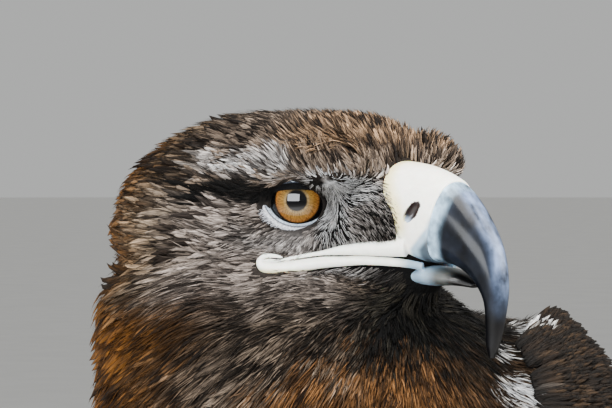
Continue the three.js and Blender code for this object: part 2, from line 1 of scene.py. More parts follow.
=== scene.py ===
# %% [markdown]
# # A life-size golden eagle, as a museum shows one
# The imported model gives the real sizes: trunk, head, bill, folded wings, tail and feet.
# This notebook dresses it: one skin under all the flesh, thousands of solid feathers laid
# over that skin along the lie of the plumage, and the bare parts (bill, cere, lids, eyes,
# toes and claws) as pieces of their own. Shapes are reckoned in millimetres, in the bird's
# own frame, and turned into metres when a mesh is made.

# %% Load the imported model
import json
import math
import bpy
import numpy as np
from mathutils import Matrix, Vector
from mathutils.bvhtree import BVHTree
from mathutils.kdtree import KDTree

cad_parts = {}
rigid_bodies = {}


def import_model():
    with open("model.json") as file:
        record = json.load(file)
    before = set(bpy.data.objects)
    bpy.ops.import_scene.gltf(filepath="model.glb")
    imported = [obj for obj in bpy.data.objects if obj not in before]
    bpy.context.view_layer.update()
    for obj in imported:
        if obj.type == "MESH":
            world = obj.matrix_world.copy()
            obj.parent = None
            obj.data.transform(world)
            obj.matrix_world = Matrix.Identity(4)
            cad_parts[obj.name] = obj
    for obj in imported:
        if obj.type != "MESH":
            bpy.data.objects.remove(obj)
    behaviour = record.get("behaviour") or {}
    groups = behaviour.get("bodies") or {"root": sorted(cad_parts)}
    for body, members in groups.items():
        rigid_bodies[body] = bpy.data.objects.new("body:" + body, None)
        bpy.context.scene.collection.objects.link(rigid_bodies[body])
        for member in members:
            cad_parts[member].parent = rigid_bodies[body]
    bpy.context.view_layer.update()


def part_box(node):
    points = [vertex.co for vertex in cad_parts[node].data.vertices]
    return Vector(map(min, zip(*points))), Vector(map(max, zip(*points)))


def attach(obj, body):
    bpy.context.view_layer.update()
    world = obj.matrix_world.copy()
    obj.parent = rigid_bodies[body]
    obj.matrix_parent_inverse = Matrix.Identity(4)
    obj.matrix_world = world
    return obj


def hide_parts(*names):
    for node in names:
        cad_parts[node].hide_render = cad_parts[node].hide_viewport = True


for leftover in list(bpy.data.objects):
    bpy.data.objects.remove(leftover)
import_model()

# %% [markdown]
# ## Camera
# The photograph is a close portrait from the bird's right front, level with the eye, taken
# with a long lens. A camera could be guessed by eye, but the size of the eye and the length
# of the bill fix it: it stands 42 degrees round from straight ahead of the body and 1.2 m
# away, so that one millimetre at the eye covers 2.85 pixels.

# %% Place the camera
MM = 0.001
FOOT_Y = -4.0                                     # the foot's middle in the bird's frame
foot_low, foot_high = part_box("foot_left")
SHIFT = np.array([0.0, (foot_low.y + foot_high.y) / 2 / MM - FOOT_Y, 0.0])


def to_metres(points):
    """Millimetres in the bird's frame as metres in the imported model's frame."""
    return (np.asarray(points, float) + SHIFT) * MM


CAMERA_ROUND, CAMERA_UP, CAMERA_FAR = math.radians(42.0), math.radians(1.0), 1200.0
AIM = np.array([20.6, -105.7, 619.6])
back = np.array([math.sin(CAMERA_ROUND) * math.cos(CAMERA_UP),
                 -math.cos(CAMERA_ROUND) * math.cos(CAMERA_UP), math.sin(CAMERA_UP)])
bpy.ops.object.camera_add(location=to_metres(AIM + back * CAMERA_FAR))
camera = bpy.context.object
camera.name = "portrait_camera"
camera.rotation_mode = "QUATERNION"
camera.rotation_quaternion = Vector(-back).to_track_quat("-Z", "Y")
camera.data.lens = 201.0
camera.data.sensor_width = 36.0
camera.data.clip_start, camera.data.clip_end = 0.05, 200.0
bpy.context.scene.camera = camera
print("Shift of the bird's frame in mm:", SHIFT.round(2))

# %% [markdown]
# ## The surfaces of the bird
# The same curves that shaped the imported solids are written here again, because feathers
# have to know the ground they grow on. The body is a row of oval stations along a spine,
# the head is a few blended ovals, and a folded wing is a bowed sheet between two edges.
# Each is a function, so a point can be asked for anywhere, as closely as the work needs.

# %% Small helpers for points and blends
UP = np.array([0, 0, 1.0])
SIDES = (1, "left"), (-1, "right")


def unit(v):
    return v / np.maximum(np.linalg.norm(v, axis=-1, keepdims=True), 1e-9)


def mix(a, b, share):
    return a + (b - a) * np.asarray(share, float)[..., None]


def ramp(x, low, high):
    """0 below low, 1 above high, smooth between them."""
    t = np.clip((np.asarray(x, float) - low) / (high - low), 0, 1)
    return t * t * (3 - 2 * t)


def band(x, low, high, soft):
    """1 between low and high, fading over soft outside them."""
    return ramp(x, low - soft, low) * (1 - ramp(x, high, high + soft))


def dot(a, b):
    return (a * b).sum(-1)


def curve(points, t):
    """A smooth line through the points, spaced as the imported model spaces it."""
    points = np.asarray(points, float)
    t = np.clip(np.atleast_1d(np.asarray(t, float)), 0, 1) * (len(points) - 1)
    i = np.minimum(t.astype(int), len(points) - 2)
    w = (t - i)[:, None]
    ends = np.vstack([2 * points[0] - points[1], points, 2 * points[-1] - points[-2]])
    p0, p1, p2, p3 = (ends[i + k] for k in range(4))
    g0, g1, g2 = (np.maximum(((b - a) ** 2).sum(1, keepdims=True), 1e-12) ** 0.25
                  for a, b in ((p0, p1), (p1, p2), (p2, p3)))
    g1 = np.where(g1 < 1e-4, 1, g1)
    g0, g2 = np.where(g0 < 1e-4, g1, g0), np.where(g2 < 1e-4, g1, g2)
    t1 = ((p1 - p0) / g0 - (p2 - p0) / (g0 + g1) + (p2 - p1) / g1) * g1
    t2 = ((p2 - p1) / g1 - (p3 - p1) / (g1 + g2) + (p3 - p2) / g2) * g1
    return (p1 + t1 * w + (3 * (p2 - p1) - 2 * t1 - t2) * w ** 2
            + (2 * (p1 - p2) + t1 + t2) * w ** 3)


# %% Trunk, thighs and shanks as oval stations
TRUNK = np.array([                                # x, y, z, half width, half depth
    [0, 118, 262, 20, 15], [0, 95, 283, 42, 36], [0, 58, 318, 68, 66], [0, 18, 366, 88, 86],
    [0, -20, 424, 98, 97], [0, -48, 480, 101, 97], [-1, -63, 528, 94, 90],
    [-7, -74, 565, 79, 75], [-18, -79, 588, 69, 60], [-22, -80, 606, 50, 38]], float)
THIGH = np.array([
    [56, 8, 392, 20, 34], [60, 0, 340, 38, 58], [60, 0, 288, 42, 62], [58, 6, 232, 40, 57],
    [56, 15, 176, 34, 47], [54, 23, 136, 27, 34], [53, 26, 114, 22, 27],
    [52, 22, 84, 18, 20]], float)
SHANK = np.array([
    [52, 28.5, 117.2, 16, 18.5], [52, 20, 84, 16, 17.5], [52, 8, 44, 15.5, 17],
    [52, -2, 19, 16, 17]], float)


def station_point(stations, s, phi, grow=0.0):
    """The surface of a row of stations, at s along them and phi round them."""
    s, phi = np.broadcast_arrays(np.asarray(s, float), np.asarray(phi, float))
    flat = s.ravel()
    spine, size = stations[:, :3], stations[:, 3:]
    along = curve(spine, np.minimum(1, flat + 0.08)) - curve(spine, np.maximum(0, flat - 0.08))
    along[:, 0] = 0
    along = unit(along)
    rear = np.cross(along, [1.0, 0, 0])
    side = np.cross(rear, along)
    half = curve(size, flat) + grow
    angle = phi.ravel()
    out = (curve(spine, flat) + side * (half[:, :1] * np.sin(angle)[:, None])
           + rear * (half[:, 1:] * np.cos(angle)[:, None]))
    return out.reshape(s.shape + (3,))


# %% The head as blended ovals
HEAD_AT = np.array([18.0, -80.0, 620.0])          # the head's own origin, between the eyes
HEAD_MIDDLE = np.array([-18.0, 0.0, -4.0])
HEAD_FAR, HEAD_STEPS = 110.0, 60                  # where the search for the surface starts
EYE_OUT, EYE_BACK, EYE_UP, EYEBALL, EYE_FORWARD = 18.5, 6.6, 0.8, 12.0, math.radians(36)


def blend(a, b, k):
    h = np.clip(0.5 + 0.5 * (b - a) / k, 0, 1)
    return b + (a - b) * h - k * h * (1 - h)


def oval(p, middle, radii):
    q = (p - np.array(middle)) / np.array(radii)
    k = np.linalg.norm(q, axis=-1)
    return k * (k - 1) / np.maximum(np.linalg.norm(q / np.array(radii), axis=-1), 1e-6)


def taper(p, a, b, ra, rb):
    a, b = np.array(a, float), np.array(b, float)
    t = np.clip(dot(p - a, b - a) / dot(b - a, b - a), 0, 1)
    return np.linalg.norm(p - a - t[..., None] * (b - a), axis=-1) - (ra + (rb - ra) * t)


def eye_axes(side):
    """The eye's middle, the way it looks, forwards along the lids, and up."""
    gaze = np.array([math.sin(EYE_FORWARD), side * math.cos(EYE_FORWARD), 0.0])
    forwards = np.array([math.cos(EYE_FORWARD), -side * math.sin(EYE_FORWARD), 0.0])
    return np.array([-EYE_BACK, side * EYE_OUT, EYE_UP]), gaze, forwards, UP


def head_distance(p, sockets=False):
    """Distance from the head's surface, below 0 inside, with or without the eyes' sockets."""
    q = np.stack([p[..., 0], -np.abs(p[..., 1]), p[..., 2]], -1)
    d = oval(q, (-26, 0, 3), (50, 37, 30))
    d = blend(d, oval(q, (2, 0, 8), (26.5, 27, 22)), 7)
    d = blend(d, taper(q, (-10, 0, -6), (24.5, 0, -6), 29, 17.5), 8)
    d = blend(d, taper(q, (-26, -29, 7), (22, -26, 13.5), 8, 7.5), 5)
    d = blend(d, oval(q, (-28, 0, -22), (42, 34, 26)), 9)
    d = blend(d, taper(q, (-5, 0, -27), (31, 0, -25), 17, 11.0), 6)
    d = blend(d, oval(q, (-55, 0, -11), (44, 43, 37)), 12)
    d = -blend(-d, oval(q, (2, -37, -2), (13, 13, 11)), 3)
    if sockets:
        middle, gaze, forwards, _ = eye_axes(-1)
        r = q - (middle + gaze * 17 + np.array([0, 0, -2.0]))
        turned = np.stack([dot(r, forwards), dot(r, gaze), r[..., 2]], -1)
        d = -blend(-d, oval(turned, (0, 0, 0), (14.5, 11.5, 11)), 2.5)
    return d


def head_point(ways, rear, front):
    """The head's surface along each way out of its middle, grown by rear behind, front ahead."""
    reach = np.full(ways.shape[:-1], HEAD_FAR)
    for _ in range(HEAD_STEPS):
        reach -= 0.8 * head_distance(HEAD_MIDDLE + ways * reach[..., None], sockets=True)
    grow = rear + (front - rear) * ramp(HEAD_MIDDLE[0] + ways[..., 0] * reach, -4, 8)
    return HEAD_AT + HEAD_MIDDLE + ways * (reach + grow)[..., None]


# %% A folded wing as a bowed sheet
WING_LOW = np.array([[88, -112, 510], [101, -104, 455], [106, -50, 385], [92, 22, 318],
                     [76, 110, 246], [58, 208, 186], [34, 322, 108]], float)
WING_HIGH = np.array([[70, -50, 572], [44, 2, 578], [20, 54, 512], [11, 96, 412],
                      [10, 148, 308], [12, 222, 216], [15, 330, 118]], float)
WING_BOW = np.array([[20, 14], [42, 18], [52, 18], [36, 15], [20, 11], [11, 8], [3, 4]], float)


def wing_frame(u):
    """The wing's lower edge, way across, outward way, bow and thickness at u."""
    low, high = curve(WING_LOW, u), curve(WING_HIGH, u)
    across = high - low
    ahead, behind = np.minimum(u + 1e-4, 1), np.maximum(u - 1e-4, 0)
    along = unit(sum(unit(curve(edge, ahead) - curve(edge, behind))
                     for edge in (WING_LOW, WING_HIGH)))
    out = unit(np.cross(along, across))
    out = np.where(out[:, :1] < 0, -out, out)
    bow = curve(WING_BOW, u)
    return low, across, out, bow[:, 0], bow[:, 1]


def wing_point(u, t, lift):
    """The left wing's outside and its normal: u from wrist to tip, t from lower edge to upper."""
    u, t, lift = (x.ravel() for x in np.broadcast_arrays(
        np.asarray(u, float), np.asarray(t, float), np.asarray(lift, float)))
    low, across, out, bow, _ = wing_frame(u)
    slope = 4 * bow * (1 - 2 * t) / np.linalg.norm(across, axis=1)
    normal = unit(out - unit(across) * slope[:, None])
    place = low + across * t[:, None] + out * (bow * 4 * t * (1 - t))[:, None]
    return place + normal * lift[:, None], normal


print("Wing length in mm:", np.linalg.norm(WING_LOW[-1] - WING_LOW[0]).round())

# %% [markdown]
# ## Rolling a sheet into a closed form
# Most living forms are tubes whose section changes along the way. A plain grid can be laid
# over such a form and its edges merged, which leaves an even, closed mesh of quads that
# takes smooth shading well. Ends are closed by drawing the last ring in to a point. Small
# helpers that read, join, melt and colour meshes come first.

# %% Read, choose, join and colour meshes
def floats(values):
    """Numbers as a mesh takes them."""
    return np.asarray(values).astype(np.float32).ravel()


def read(items, attribute, kind=np.float32):
    """Three numbers for each of a mesh's items."""
    values = np.empty(len(items) * 3, kind)
    items.foreach_get(attribute, values)
    return values.reshape(-1, 3)


def points_of(piece):
    """A piece's points in millimetres, in the bird's frame."""
    return read(piece.data.vertices, "co").astype(float) / MM - SHIFT


def paint(piece, colours, name="Tint"):
    """Keeps a colour at each of the piece's points."""
    layer = piece.data.color_attributes.new(name, "FLOAT_COLOR", "POINT")
    opaque = np.ones((len(colours), 1))
    layer.data.foreach_set("color", floats(np.concatenate([colours, opaque], 1)))


def nearest_of(points):
    """A tree that finds the nearest of the points."""
    tree = KDTree(len(points))
    for k, point in enumerate(points):
        tree.insert(point, k)
    tree.balance()
    return tree


def deselect():
    if bpy.context.object and bpy.context.object.mode != "OBJECT":
        bpy.ops.object.mode_set(mode="OBJECT")
    bpy.ops.object.select_all(action="DESELECT")


def choose(piece):
    deselect()
    piece.select_set(True)
    bpy.context.view_layer.objects.active = piece


def modified(piece, kind, **settings):
    """Adds a modifier and applies it."""
    choose(piece)
    modifier = piece.modifiers.new(kind.lower(), kind)
    for key, value in settings.items():
        setattr(modifier, key, value)
    bpy.ops.object.modifier_apply(modifier=modifier.name)


def joined(pieces, into, name):
    """Joins pieces into one of them, and names it."""
    choose(into)
    for piece in pieces:
        piece.select_set(True)
    bpy.ops.object.join()
    into.name = into.data.name = name
    return into


def melt(piece, voxel):
    """Turns a piece's closed parts into one smooth closed mesh."""
    modified(piece, "REMESH", mode="VOXEL", voxel_size=voxel)
    modified(piece, "SMOOTH", factor=0.5, iterations=3)


def dressed(piece, finish):
    """Gives a piece its finish, and lets it ride on the body."""
    piece.data.materials.clear()
    piece.data.materials.append(finish)
    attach(piece, "root")


# %% Lay a grid over rings of points
MERGE = 2e-6                                      # metres, for the seam and the two ends


def rolled(name, rings, hoop=False):
    """A closed mesh over rings of points. A hoop joins its last ring to its first."""
    rings = np.asarray(rings, float)
    if hoop:
        rings = np.concatenate([rings, rings[:1]])
    else:
        ends = [np.repeat(rings[k].mean(0)[None, None], rings.shape[1], 1) for k in (0, -1)]
        rings = np.concatenate([ends[0], rings, ends[1]])
    laid = np.concatenate([rings, rings[:, :1]], axis=1)
    deselect()
    bpy.ops.mesh.primitive_grid_add(x_subdivisions=rings.shape[1],
                                    y_subdivisions=rings.shape[0] - 1)
    piece = bpy.context.object
    piece.name = piece.data.name = name
    piece.data.vertices.foreach_set("co", floats(to_metres(laid)))
    piece.data.update()
    bpy.ops.object.mode_set(mode="EDIT")
    bpy.ops.mesh.select_all(action="SELECT")
    bpy.ops.mesh.remove_doubles(threshold=MERGE)
    bpy.ops.mesh.normals_make_consistent(inside=False)
    bpy.ops.object.mode_set(mode="OBJECT")
    bpy.ops.object.shade_smooth()
    return piece


def both_sides(points, side):
    """The same points for the left (1) or the right (-1) of the body."""
    return np.asarray(points, float) * np.array([side, 1.0, 1.0])


# %% [markdown]
# ## One skin under the plumage
# A bird's body is one skin from the bill to the toes, and a seam between two parts would
# show wherever the feathers open. So every fleshy part is rolled a little thinner than its
# solid, to leave room for the coat, the parts are joined, and a voxel remesh melts them
# into one closed surface, which is then smoothed.

# %% Roll the fleshy parts
def stations_rolled(name, stations, inset, side=1, steps=40, sides=40, end=1.0, shaped=None):
    s, phi = np.meshgrid(np.linspace(0, end, steps), np.linspace(0, 2 * np.pi, sides, False),
                         indexing="ij")
    points = station_point(stations, s, phi, -inset)
    return rolled(name, both_sides(shaped(points) if shaped else points, side))


def below_jaws(points):
    """Draws the top of the neck in under the jaws, so that the lips stay clear of it."""
    q = points - HEAD_AT
    for _ in range(6):
        d = head_distance(q)
        room = -2.5 + 1.1 * np.clip(-21 - q[..., 2], 0, None) + 60 * ramp(-q[..., 0], 20, 50)
        slope = unit(np.stack([head_distance(q + [0.5, 0, 0]) - d,
                               head_distance(q + [0, 0.5, 0]) - d, 0 * d], -1))
        q = q - slope * (np.clip(d - room, 0, None) * (q[..., 2] > -45))[..., None]
    return q + HEAD_AT


def wing_rolled(name, side, inset):
    """The folded wing's flesh, between its bowed outside and a flatter inside."""
    rings = []
    t = np.linspace(0.03, 0.97, 16)
    for u in np.linspace(0.015, 0.72, 36):
        low, across, out, _, thick = wing_frame(np.array([u]))
        outer, _ = wing_point(u, t, -inset)
        depth = (1.0 + thick[0] * 2 * t * (1 - t))[:, None]
        inner = low + across * t[:, None] - out * depth
        rings.append(np.concatenate([outer, inner[::-1]]))
    return rolled(name, both_sides(rings, side))


sphere_angle, sphere_turn = np.meshgrid(np.linspace(0.02, np.pi - 0.02, 110),
                                        np.linspace(0, 2 * np.pi, 160, False), indexing="ij")
head_ways = np.stack([np.cos(sphere_angle), np.sin(sphere_angle) * np.cos(sphere_turn),
                      np.sin(sphere_angle) * np.sin(sphere_turn)], -1)
TAIL_ROOT, TAIL_DOWN = np.array([0.0, 118.0, 262.0]), math.radians(40)
TAIL_ALONG = np.array([0.0, math.cos(TAIL_DOWN), -math.sin(TAIL_DOWN)])
TAIL_UP = np.array([0.0, math.sin(TAIL_DOWN), math.cos(TAIL_DOWN)])
rump_turn = np.linspace(0, 2 * np.pi, 24, False)
rump_rings = [TAIL_ROOT + TAIL_ALONG * along + np.outer(np.cos(rump_turn), [half, 0, 0])
              + np.outer(np.sin(rump_turn), TAIL_UP * thick)
              for along, half, thick in ((-8, 19, 13), (20, 19, 10), (50, 20, 7), (80, 20, 4))]

flesh = {"head": rolled("flesh_head", head_point(head_ways, -1.7, -0.5)),
         "trunk": stations_rolled("flesh_trunk", TRUNK, 3.0, steps=90, sides=90,
                                  shaped=below_jaws),
         "rump": rolled("flesh_rump", rump_rings)}
for side, name in SIDES:
    flesh["wing_" + name] = wing_rolled("flesh_wing_" + name, side, 3.0)
    flesh["thigh_" + name] = stations_rolled("flesh_thigh_" + name, THIGH, 2.0, side, end=7 / 8)
    flesh["shank_" + name] = stations_rolled("flesh_shank_" + name, SHANK, 2.6, side)
PARTS = sorted(flesh)
clouds = [np.array([v.co for v in flesh[part].data.vertices]) for part in PARTS]
print("Parts of flesh:", ", ".join(PARTS))

# %% Melt them into one skin
skin = joined(flesh.values(), flesh["trunk"], "skin")
melt(skin, 0.0024)
bpy.ops.object.shade_smooth()
print("Skin triangles:", sum(len(p.vertices) - 2 for p in skin.data.polygons))

# %% Read the skin's triangles, and the part each belongs to
skin.data.calc_loop_triangles()
skin_points = points_of(skin)
triangles = read(skin.data.loop_triangles, "vertices", np.int32)
skin_normals = read(skin.data.vertex_normals, "vector").astype(float)
corners = skin_points[triangles]
centres = corners.mean(1)
areas = np.linalg.norm(np.cross(corners[:, 1] - corners[:, 0], corners[:, 2] - corners[:, 0]),
                       axis=1) / 2
skin_tree = BVHTree.FromPolygons(skin_points.tolist(), triangles.tolist())

part_tree = nearest_of(np.concatenate(clouds))
part_codes = np.repeat(np.arange(len(PARTS)), [len(c) for c in clouds])
vertex_part = part_codes[[part_tree.find(p)[1] for p in to_metres(skin_points)]]
face_part = vertex_part[triangles[:, 0]]


def of_parts(*names):
    """The skin's triangles that belong to the named parts."""
    return np.isin(face_part, [PARTS.index(n) for n in names])


# A walk through cells of 1 mm in which neighbours stay near each other, for an even sowing.
WALK_BITS = 10
cell = np.clip((centres - centres.min(0)).astype(np.int64), 0, 2 ** WALK_BITS - 1)
walk_key = np.zeros(len(cell), np.int64)
for bit in range(WALK_BITS):
    for axis in range(3):
        walk_key |= ((cell[:, axis] >> bit) & 1) << (3 * bit + axis)
walk = np.argsort(walk_key, kind="stable")
print("Area of the skin in square cm:", round(areas.sum() / 100))

# %% [markdown]
# ## The lie of the coat
# Feathers never stand at random: they stream away from the bill over the head and down the
# neck, then run along the trunk to the tail, and part round the eye. A direction could be
# combed by hand for each tract; here it is a field, blended from a few simple streams, and
# laid flat on the skin wherever it is asked.

# %% The streams
BILL_SOURCE = np.array([44.0, -80.0, 606.0])
spine_s = np.linspace(0, 1, 90)
spine_line = curve(TRUNK[:, :3], spine_s)
spine_way = -unit(np.gradient(spine_line, axis=0))           # from neck to tail


def nearest_spine(p, chunk=20000):
    """The nearest place on the spine, reckoned in chunks to spare memory."""
    parts = [p[start:start + chunk] for start in range(0, len(p), chunk)]
    return np.concatenate([((part[:, None] - spine_line[None]) ** 2).sum(-1).argmin(1)
                           for part in parts])


def in_head(p):
    """The head's own frame, mirrored to one side: forwards, outwards, up."""
    q = p - HEAD_AT
    return np.stack([q[:, 0], np.abs(q[:, 1]), q[:, 2]], 1), np.where(q[:, 1] < 0, -1.0, 1.0)


def from_eye(q):
    """Place round the eye in the head's frame: along the lids, up, and out along the gaze."""
    middle, gaze, forwards, _ = eye_axes(1)
    d = q - middle
    return dot(d, forwards), d[:, 2], dot(d, gaze)


def lore_share(q):
    """1 on the lores, the bristly skin between the eye and the cere."""
    return band(q[:, 0], 9, 40, 7) * band(q[:, 2], -24, 6.5, 4) * ramp(q[:, 1], 5, 11)


def lie(p):
    """The way feathers point at p, not yet laid on the skin."""
    radial = unit(p - BILL_SOURCE)
    down = spine_way[nearest_spine(p)]
    far = np.linalg.norm(p - BILL_SOURCE, axis=1)
    way = mix(radial, down, ramp(far, 95, 215))
    q, side = in_head(p)
    head = (far < 130).astype(float)
    along, up, _ = from_eye(q)
    middle, gaze, forwards, _ = eye_axes(1)
    mirror = np.stack([np.ones(len(p)), side, np.ones(len(p))], 1)
    round_eye = unit(along[:, None] * forwards + up[:, None] * UP) * mirror
    ring = np.hypot(along, up)
    lores = lore_share(q) * head
    corner = middle + gaze * 8 + forwards * 8
    away = unit(q - corner) * mirror
    falling = unit(away + np.array([0.1, 0, -0.9]) * ramp(q[:, 0], 16, 28)[:, None]
                   + np.array([-0.6, 0, -0.5]) * ramp(-q[:, 2], 10, 18)[:, None])
    way = unit(mix(way, falling, lores))
    chin = ramp(q[:, 0], 0, 12) * ramp(-q[:, 2], 19, 22) * (1 - ramp(-q[:, 2], 30, 42)) * head
    way = unit(mix(way, unit(np.array([-1.0, 0, -0.5])) + 0 * way, chin * 0.9))
    near_eye = head * (1 - ramp(ring, 13, 21)) * ramp(q[:, 1], 14, 20)
    backwards = np.array([-1.0, 0, -0.15])
    around = unit(round_eye + backwards * 0.7)
    return unit(mix(way, around, near_eye * (1 - 0.8 * ramp(up, 6, 9))))


def on_skin(ways, normals):
    """Ways laid flat against their normals."""
    return unit(ways - normals * dot(ways, normals)[:, None])


# %% Sow roots, and walk a feather's line over the skin
def sow(mask, density, seed):
    """Roots spread evenly over the masked skin, density in feathers per square millimetre."""
    rng = np.random.default_rng(seed)
    weight = areas * mask * density
    total = np.cumsum(weight[walk])
    count = int(total[-1])
    pick = np.searchsorted(total, (np.arange(count) + rng.random(count)) * total[-1] / count)
    face = walk[np.minimum(pick, len(walk) - 1)]
    a, b = rng.random((2, count, 1))
    over = (a + b) > 1
    a, b = np.where(over, 1 - a, a), np.where(over, 1 - b, b)
    corner_normals = skin_normals[triangles[face]]
    point = corners[face, 0] * (1 - a - b) + corners[face, 1] * a + corners[face, 2] * b
    normal = unit(corner_normals[:, 0] * (1 - a - b) + corner_normals[:, 1] * a
                  + corner_normals[:, 2] * b)
    return point, normal, rng


def swing(ways, normals, angle):
    """Turns each way about its normal."""
    return (ways * np.cos(angle)[:, None]
            + np.cross(normals, ways) * np.sin(angle)[:, None])


def straight(points, normals, ways, lengths, stations):
    """Lines that leave the skin straight, for bristles on the lids."""
    line = points[:, None] + ways[:, None] * (lengths[:, None] * stations)[..., None]
    return line, np.repeat(normals[:, None], len(stations), 1)


def over_skin(points, normals, ways, lengths, stations):
    """Follows the skin from station to station, as a feather lying on it does."""
    line, ups = [points], [normals]
    for k in range(1, len(stations)):
        aim = line[-1] + ways * (lengths * (stations[k] - stations[k - 1]))[:, None]
        found = [skin_tree.find_nearest(p) for p in aim.tolist()]
        place = np.array([f[0] for f in found])
        normal = unit(ups[-1] + np.array([f[1] for f in found]))
        ways = on_skin(ways, normal)
        line.append(place)
        ups.append(normal)
    return np.stack(line, 1), np.stack(ups, 1)


# %% [markdown]
# ## Feathers as solid vanes
# Hair systems and instances are lost when a model leaves Blender, so each feather is a small
# closed mesh: a root point, a few rings with a raised shaft between two falling edges, and a
# tip. One description of a feather gives thousands at once, as arrays, joined in one mesh.
# Each carries its colours at its points, a map along and across the vane for the barbs, and
# a second map that gives every feather its own small patch on an unwrap of the skin.

# %% Sections, outlines, and the mesh of many feathers
SLIM = [(-1, -0.22), (0, 0.16), (1, -0.22)]
FULL = [(-1, -0.09), (-0.5, 0.0), (0, 0.06), (0.5, 0.0), (1, -0.09), (0, -0.05)]
STRAND = ((0.0, 0), (0.18, 1.0), (0.62, 0.72), (1.0, 0))
BRISTLE = ((0.0, 0), (0.12, 1.0), (1.0, 0))
HACKLE = ((0.0, 0), (0.1, 0.55), (0.36, 1.0), (0.64, 0.8), (0.86, 0.36), (1.0, 0))
CONTOUR = ((0.0, 0), (0.07, 0.42), (0.25, 0.82), (0.46, 1.0), (0.66, 0.96), (0.83, 0.74),
           (0.94, 0.42), (1.0, 0))


def places_of(outline):
    """Places along a feather, from 0 at its root to 1, at which its outline is given."""
    return np.array([o[0] for o in outline])


def vane_faces(rings, section):
    """The faces of one feather, counted so that they look outwards."""
    faces = [(0, 1 + i, 1 + (i + 1) % section) for i in range(section)]
    for k in range(rings - 1):
        a, b = 1 + section * k, 1 + section * (k + 1)
        faces += [(a + i, b + i, b + (i + 1) % section, a + (i + 1) % section)
                  for i in range(section)]
    a, tip = 1 + section * (rings - 1), 1 + section * rings
    faces += [(a + i, tip, a + (i + 1) % section) for i in range(section)]
    return [face[::-1] for face in faces]


def plumes(name, line, ups, half, lift, outline, section, colour, bake, rng,
           sink=0.8, ragged=0.1, barb=1.0, curl=0.0):
    """Solid feathers along lines of points. colour(t, across) gives each point's colour."""
    stations, widths = places_of(outline), np.array([o[1] for o in outline])
    count, rings, parts = len(line), len(outline) - 2, len(section)
    height = -sink + (lift[:, None] + sink) * stations + curl * lift[:, None] * stations ** 3
    spine = line + ups * height[..., None]
    along = unit(np.gradient(spine, axis=1))
    side = unit(np.cross(along, ups))
    up = np.cross(side, along)
    across = np.array([s[0] for s in section], float)
    rise = np.array([s[1] for s in section], float)
    wide = half[:, None] * widths[1:-1]
    jag = 1 + ragged * rng.uniform(-1, 1, (count, rings, parts))
    body = (spine[:, 1:-1, None]
            + side[:, 1:-1, None] * (wide[..., None] * across * jag)[..., None]
            + up[:, 1:-1, None] * (wide[..., None] * rise)[..., None])
    points = np.concatenate([spine[:, :1], body.reshape(count, -1, 3), spine[:, -1:]], 1)
    each = points.shape[1]
    t = np.concatenate([[0], np.repeat(stations[1:-1], parts), [1]])
    a = np.concatenate([[0], np.tile(across, rings), [0]])
    colours = np.clip(colour(t, a), 0, 1)
    lengths = np.linalg.norm(np.diff(line, axis=1), axis=2).sum(1)
    wide_mm = np.concatenate([np.zeros((count, 1)),
                              (wide[..., None] * across).reshape(count, -1),
                              np.zeros((count, 1))], 1)
    offset = rng.uniform(0, 100, (count, 1, 2))
    vane = np.stack([wide_mm, lengths[:, None] * t - barb * np.abs(wide_mm)], -1) / 10 + offset
    patch = np.stack([a * 0.0012, (t - 0.5) * 0.0026], -1)[None] + bake[:, None]
    faces = vane_faces(rings, parts)
    totals = np.array([len(f) for f in faces])
    flat = np.concatenate([np.array(f) for f in faces])
    loops = (flat[None] + (np.arange(count) * each)[:, None]).ravel()
    starts = np.concatenate([[0], np.cumsum(np.tile(totals, count))[:-1]])
    mesh = bpy.data.meshes.new(name)
    mesh.vertices.add(count * each)
    mesh.loops.add(len(loops))
    mesh.polygons.add(len(starts))
    mesh.vertices.foreach_set("co", floats(to_metres(points)))
    mesh.loops.foreach_set("vertex_index", loops.astype(np.int32))
    mesh.polygons.foreach_set("loop_start", starts.astype(np.int32))
    mesh.update(calc_edges=True)
    for map_name, values in (("OFBake", patch), ("Vane", vane)):
        layer = mesh.uv_layers.new(name=map_name)
        layer.uv.foreach_set("vector", floats(values.reshape(-1, 2)[loops]))
    mesh.polygons.foreach_set("use_smooth", np.ones(len(starts), bool))
    piece = bpy.data.objects.new(name, mesh)
    paint(piece, colours.reshape(-1, 3))
    bpy.context.scene.collection.objects.link(piece)
    print(f"{name}: {count} feathers, {count * int((totals - 2).sum())} triangles")
    return piece


# %% Unwraps of the skin, for the patches
def head_unwrap(p):
    """Round the head's middle like a globe, with equal areas kept equal."""
    way = unit(p - HEAD_AT - HEAD_MIDDLE)
    return np.stack([0.5 + np.arctan2(way[:, 1], way[:, 0]) / (2 * np.pi) * 0.98,
                     0.5 + way[:, 2] * 0.48], 1)


def column_unwrap(stations):
    """Round and along a row of stations."""
    line = curve(stations[:, :3], np.linspace(0, 1, 60))

    def place(p):
        near = ((p[:, None] - line[None]) ** 2).sum(-1).argmin(1)
        d = p - line[near]
        return np.stack([0.5 + np.arctan2(d[:, 0], d[:, 1]) / (2 * np.pi) * 0.98,
                         0.01 + 0.98 * near / 59], 1)
    return place


# %% [markdown]
# ## Finishes
# Every surface gets its colour, grain and sheen from nodes: feathers read the colour of
# their own points and a noise stretched along their barbs, horn and skin read noise on
# object coordinates. A number that is the same all over sits on the shader's own socket.

# %% Build a finish from a few settings
def tone(r, g, b):
    """A colour given as it looks on a screen, turned into light."""
    c = np.array([r, g, b]) / 255
    return np.where(c <= 0.04045, c / 12.92, ((c + 0.055) / 1.055) ** 2.4)


def node(tree, kind, sockets=None, **settings):
    """A new node, with its settings and what its sockets hold."""
    made = tree.nodes.new(kind)
    for key, value in settings.items():
        setattr(made, key, value)
    for key, value in (sockets or {}).items():
        made.inputs[key].default_value = value
    return made


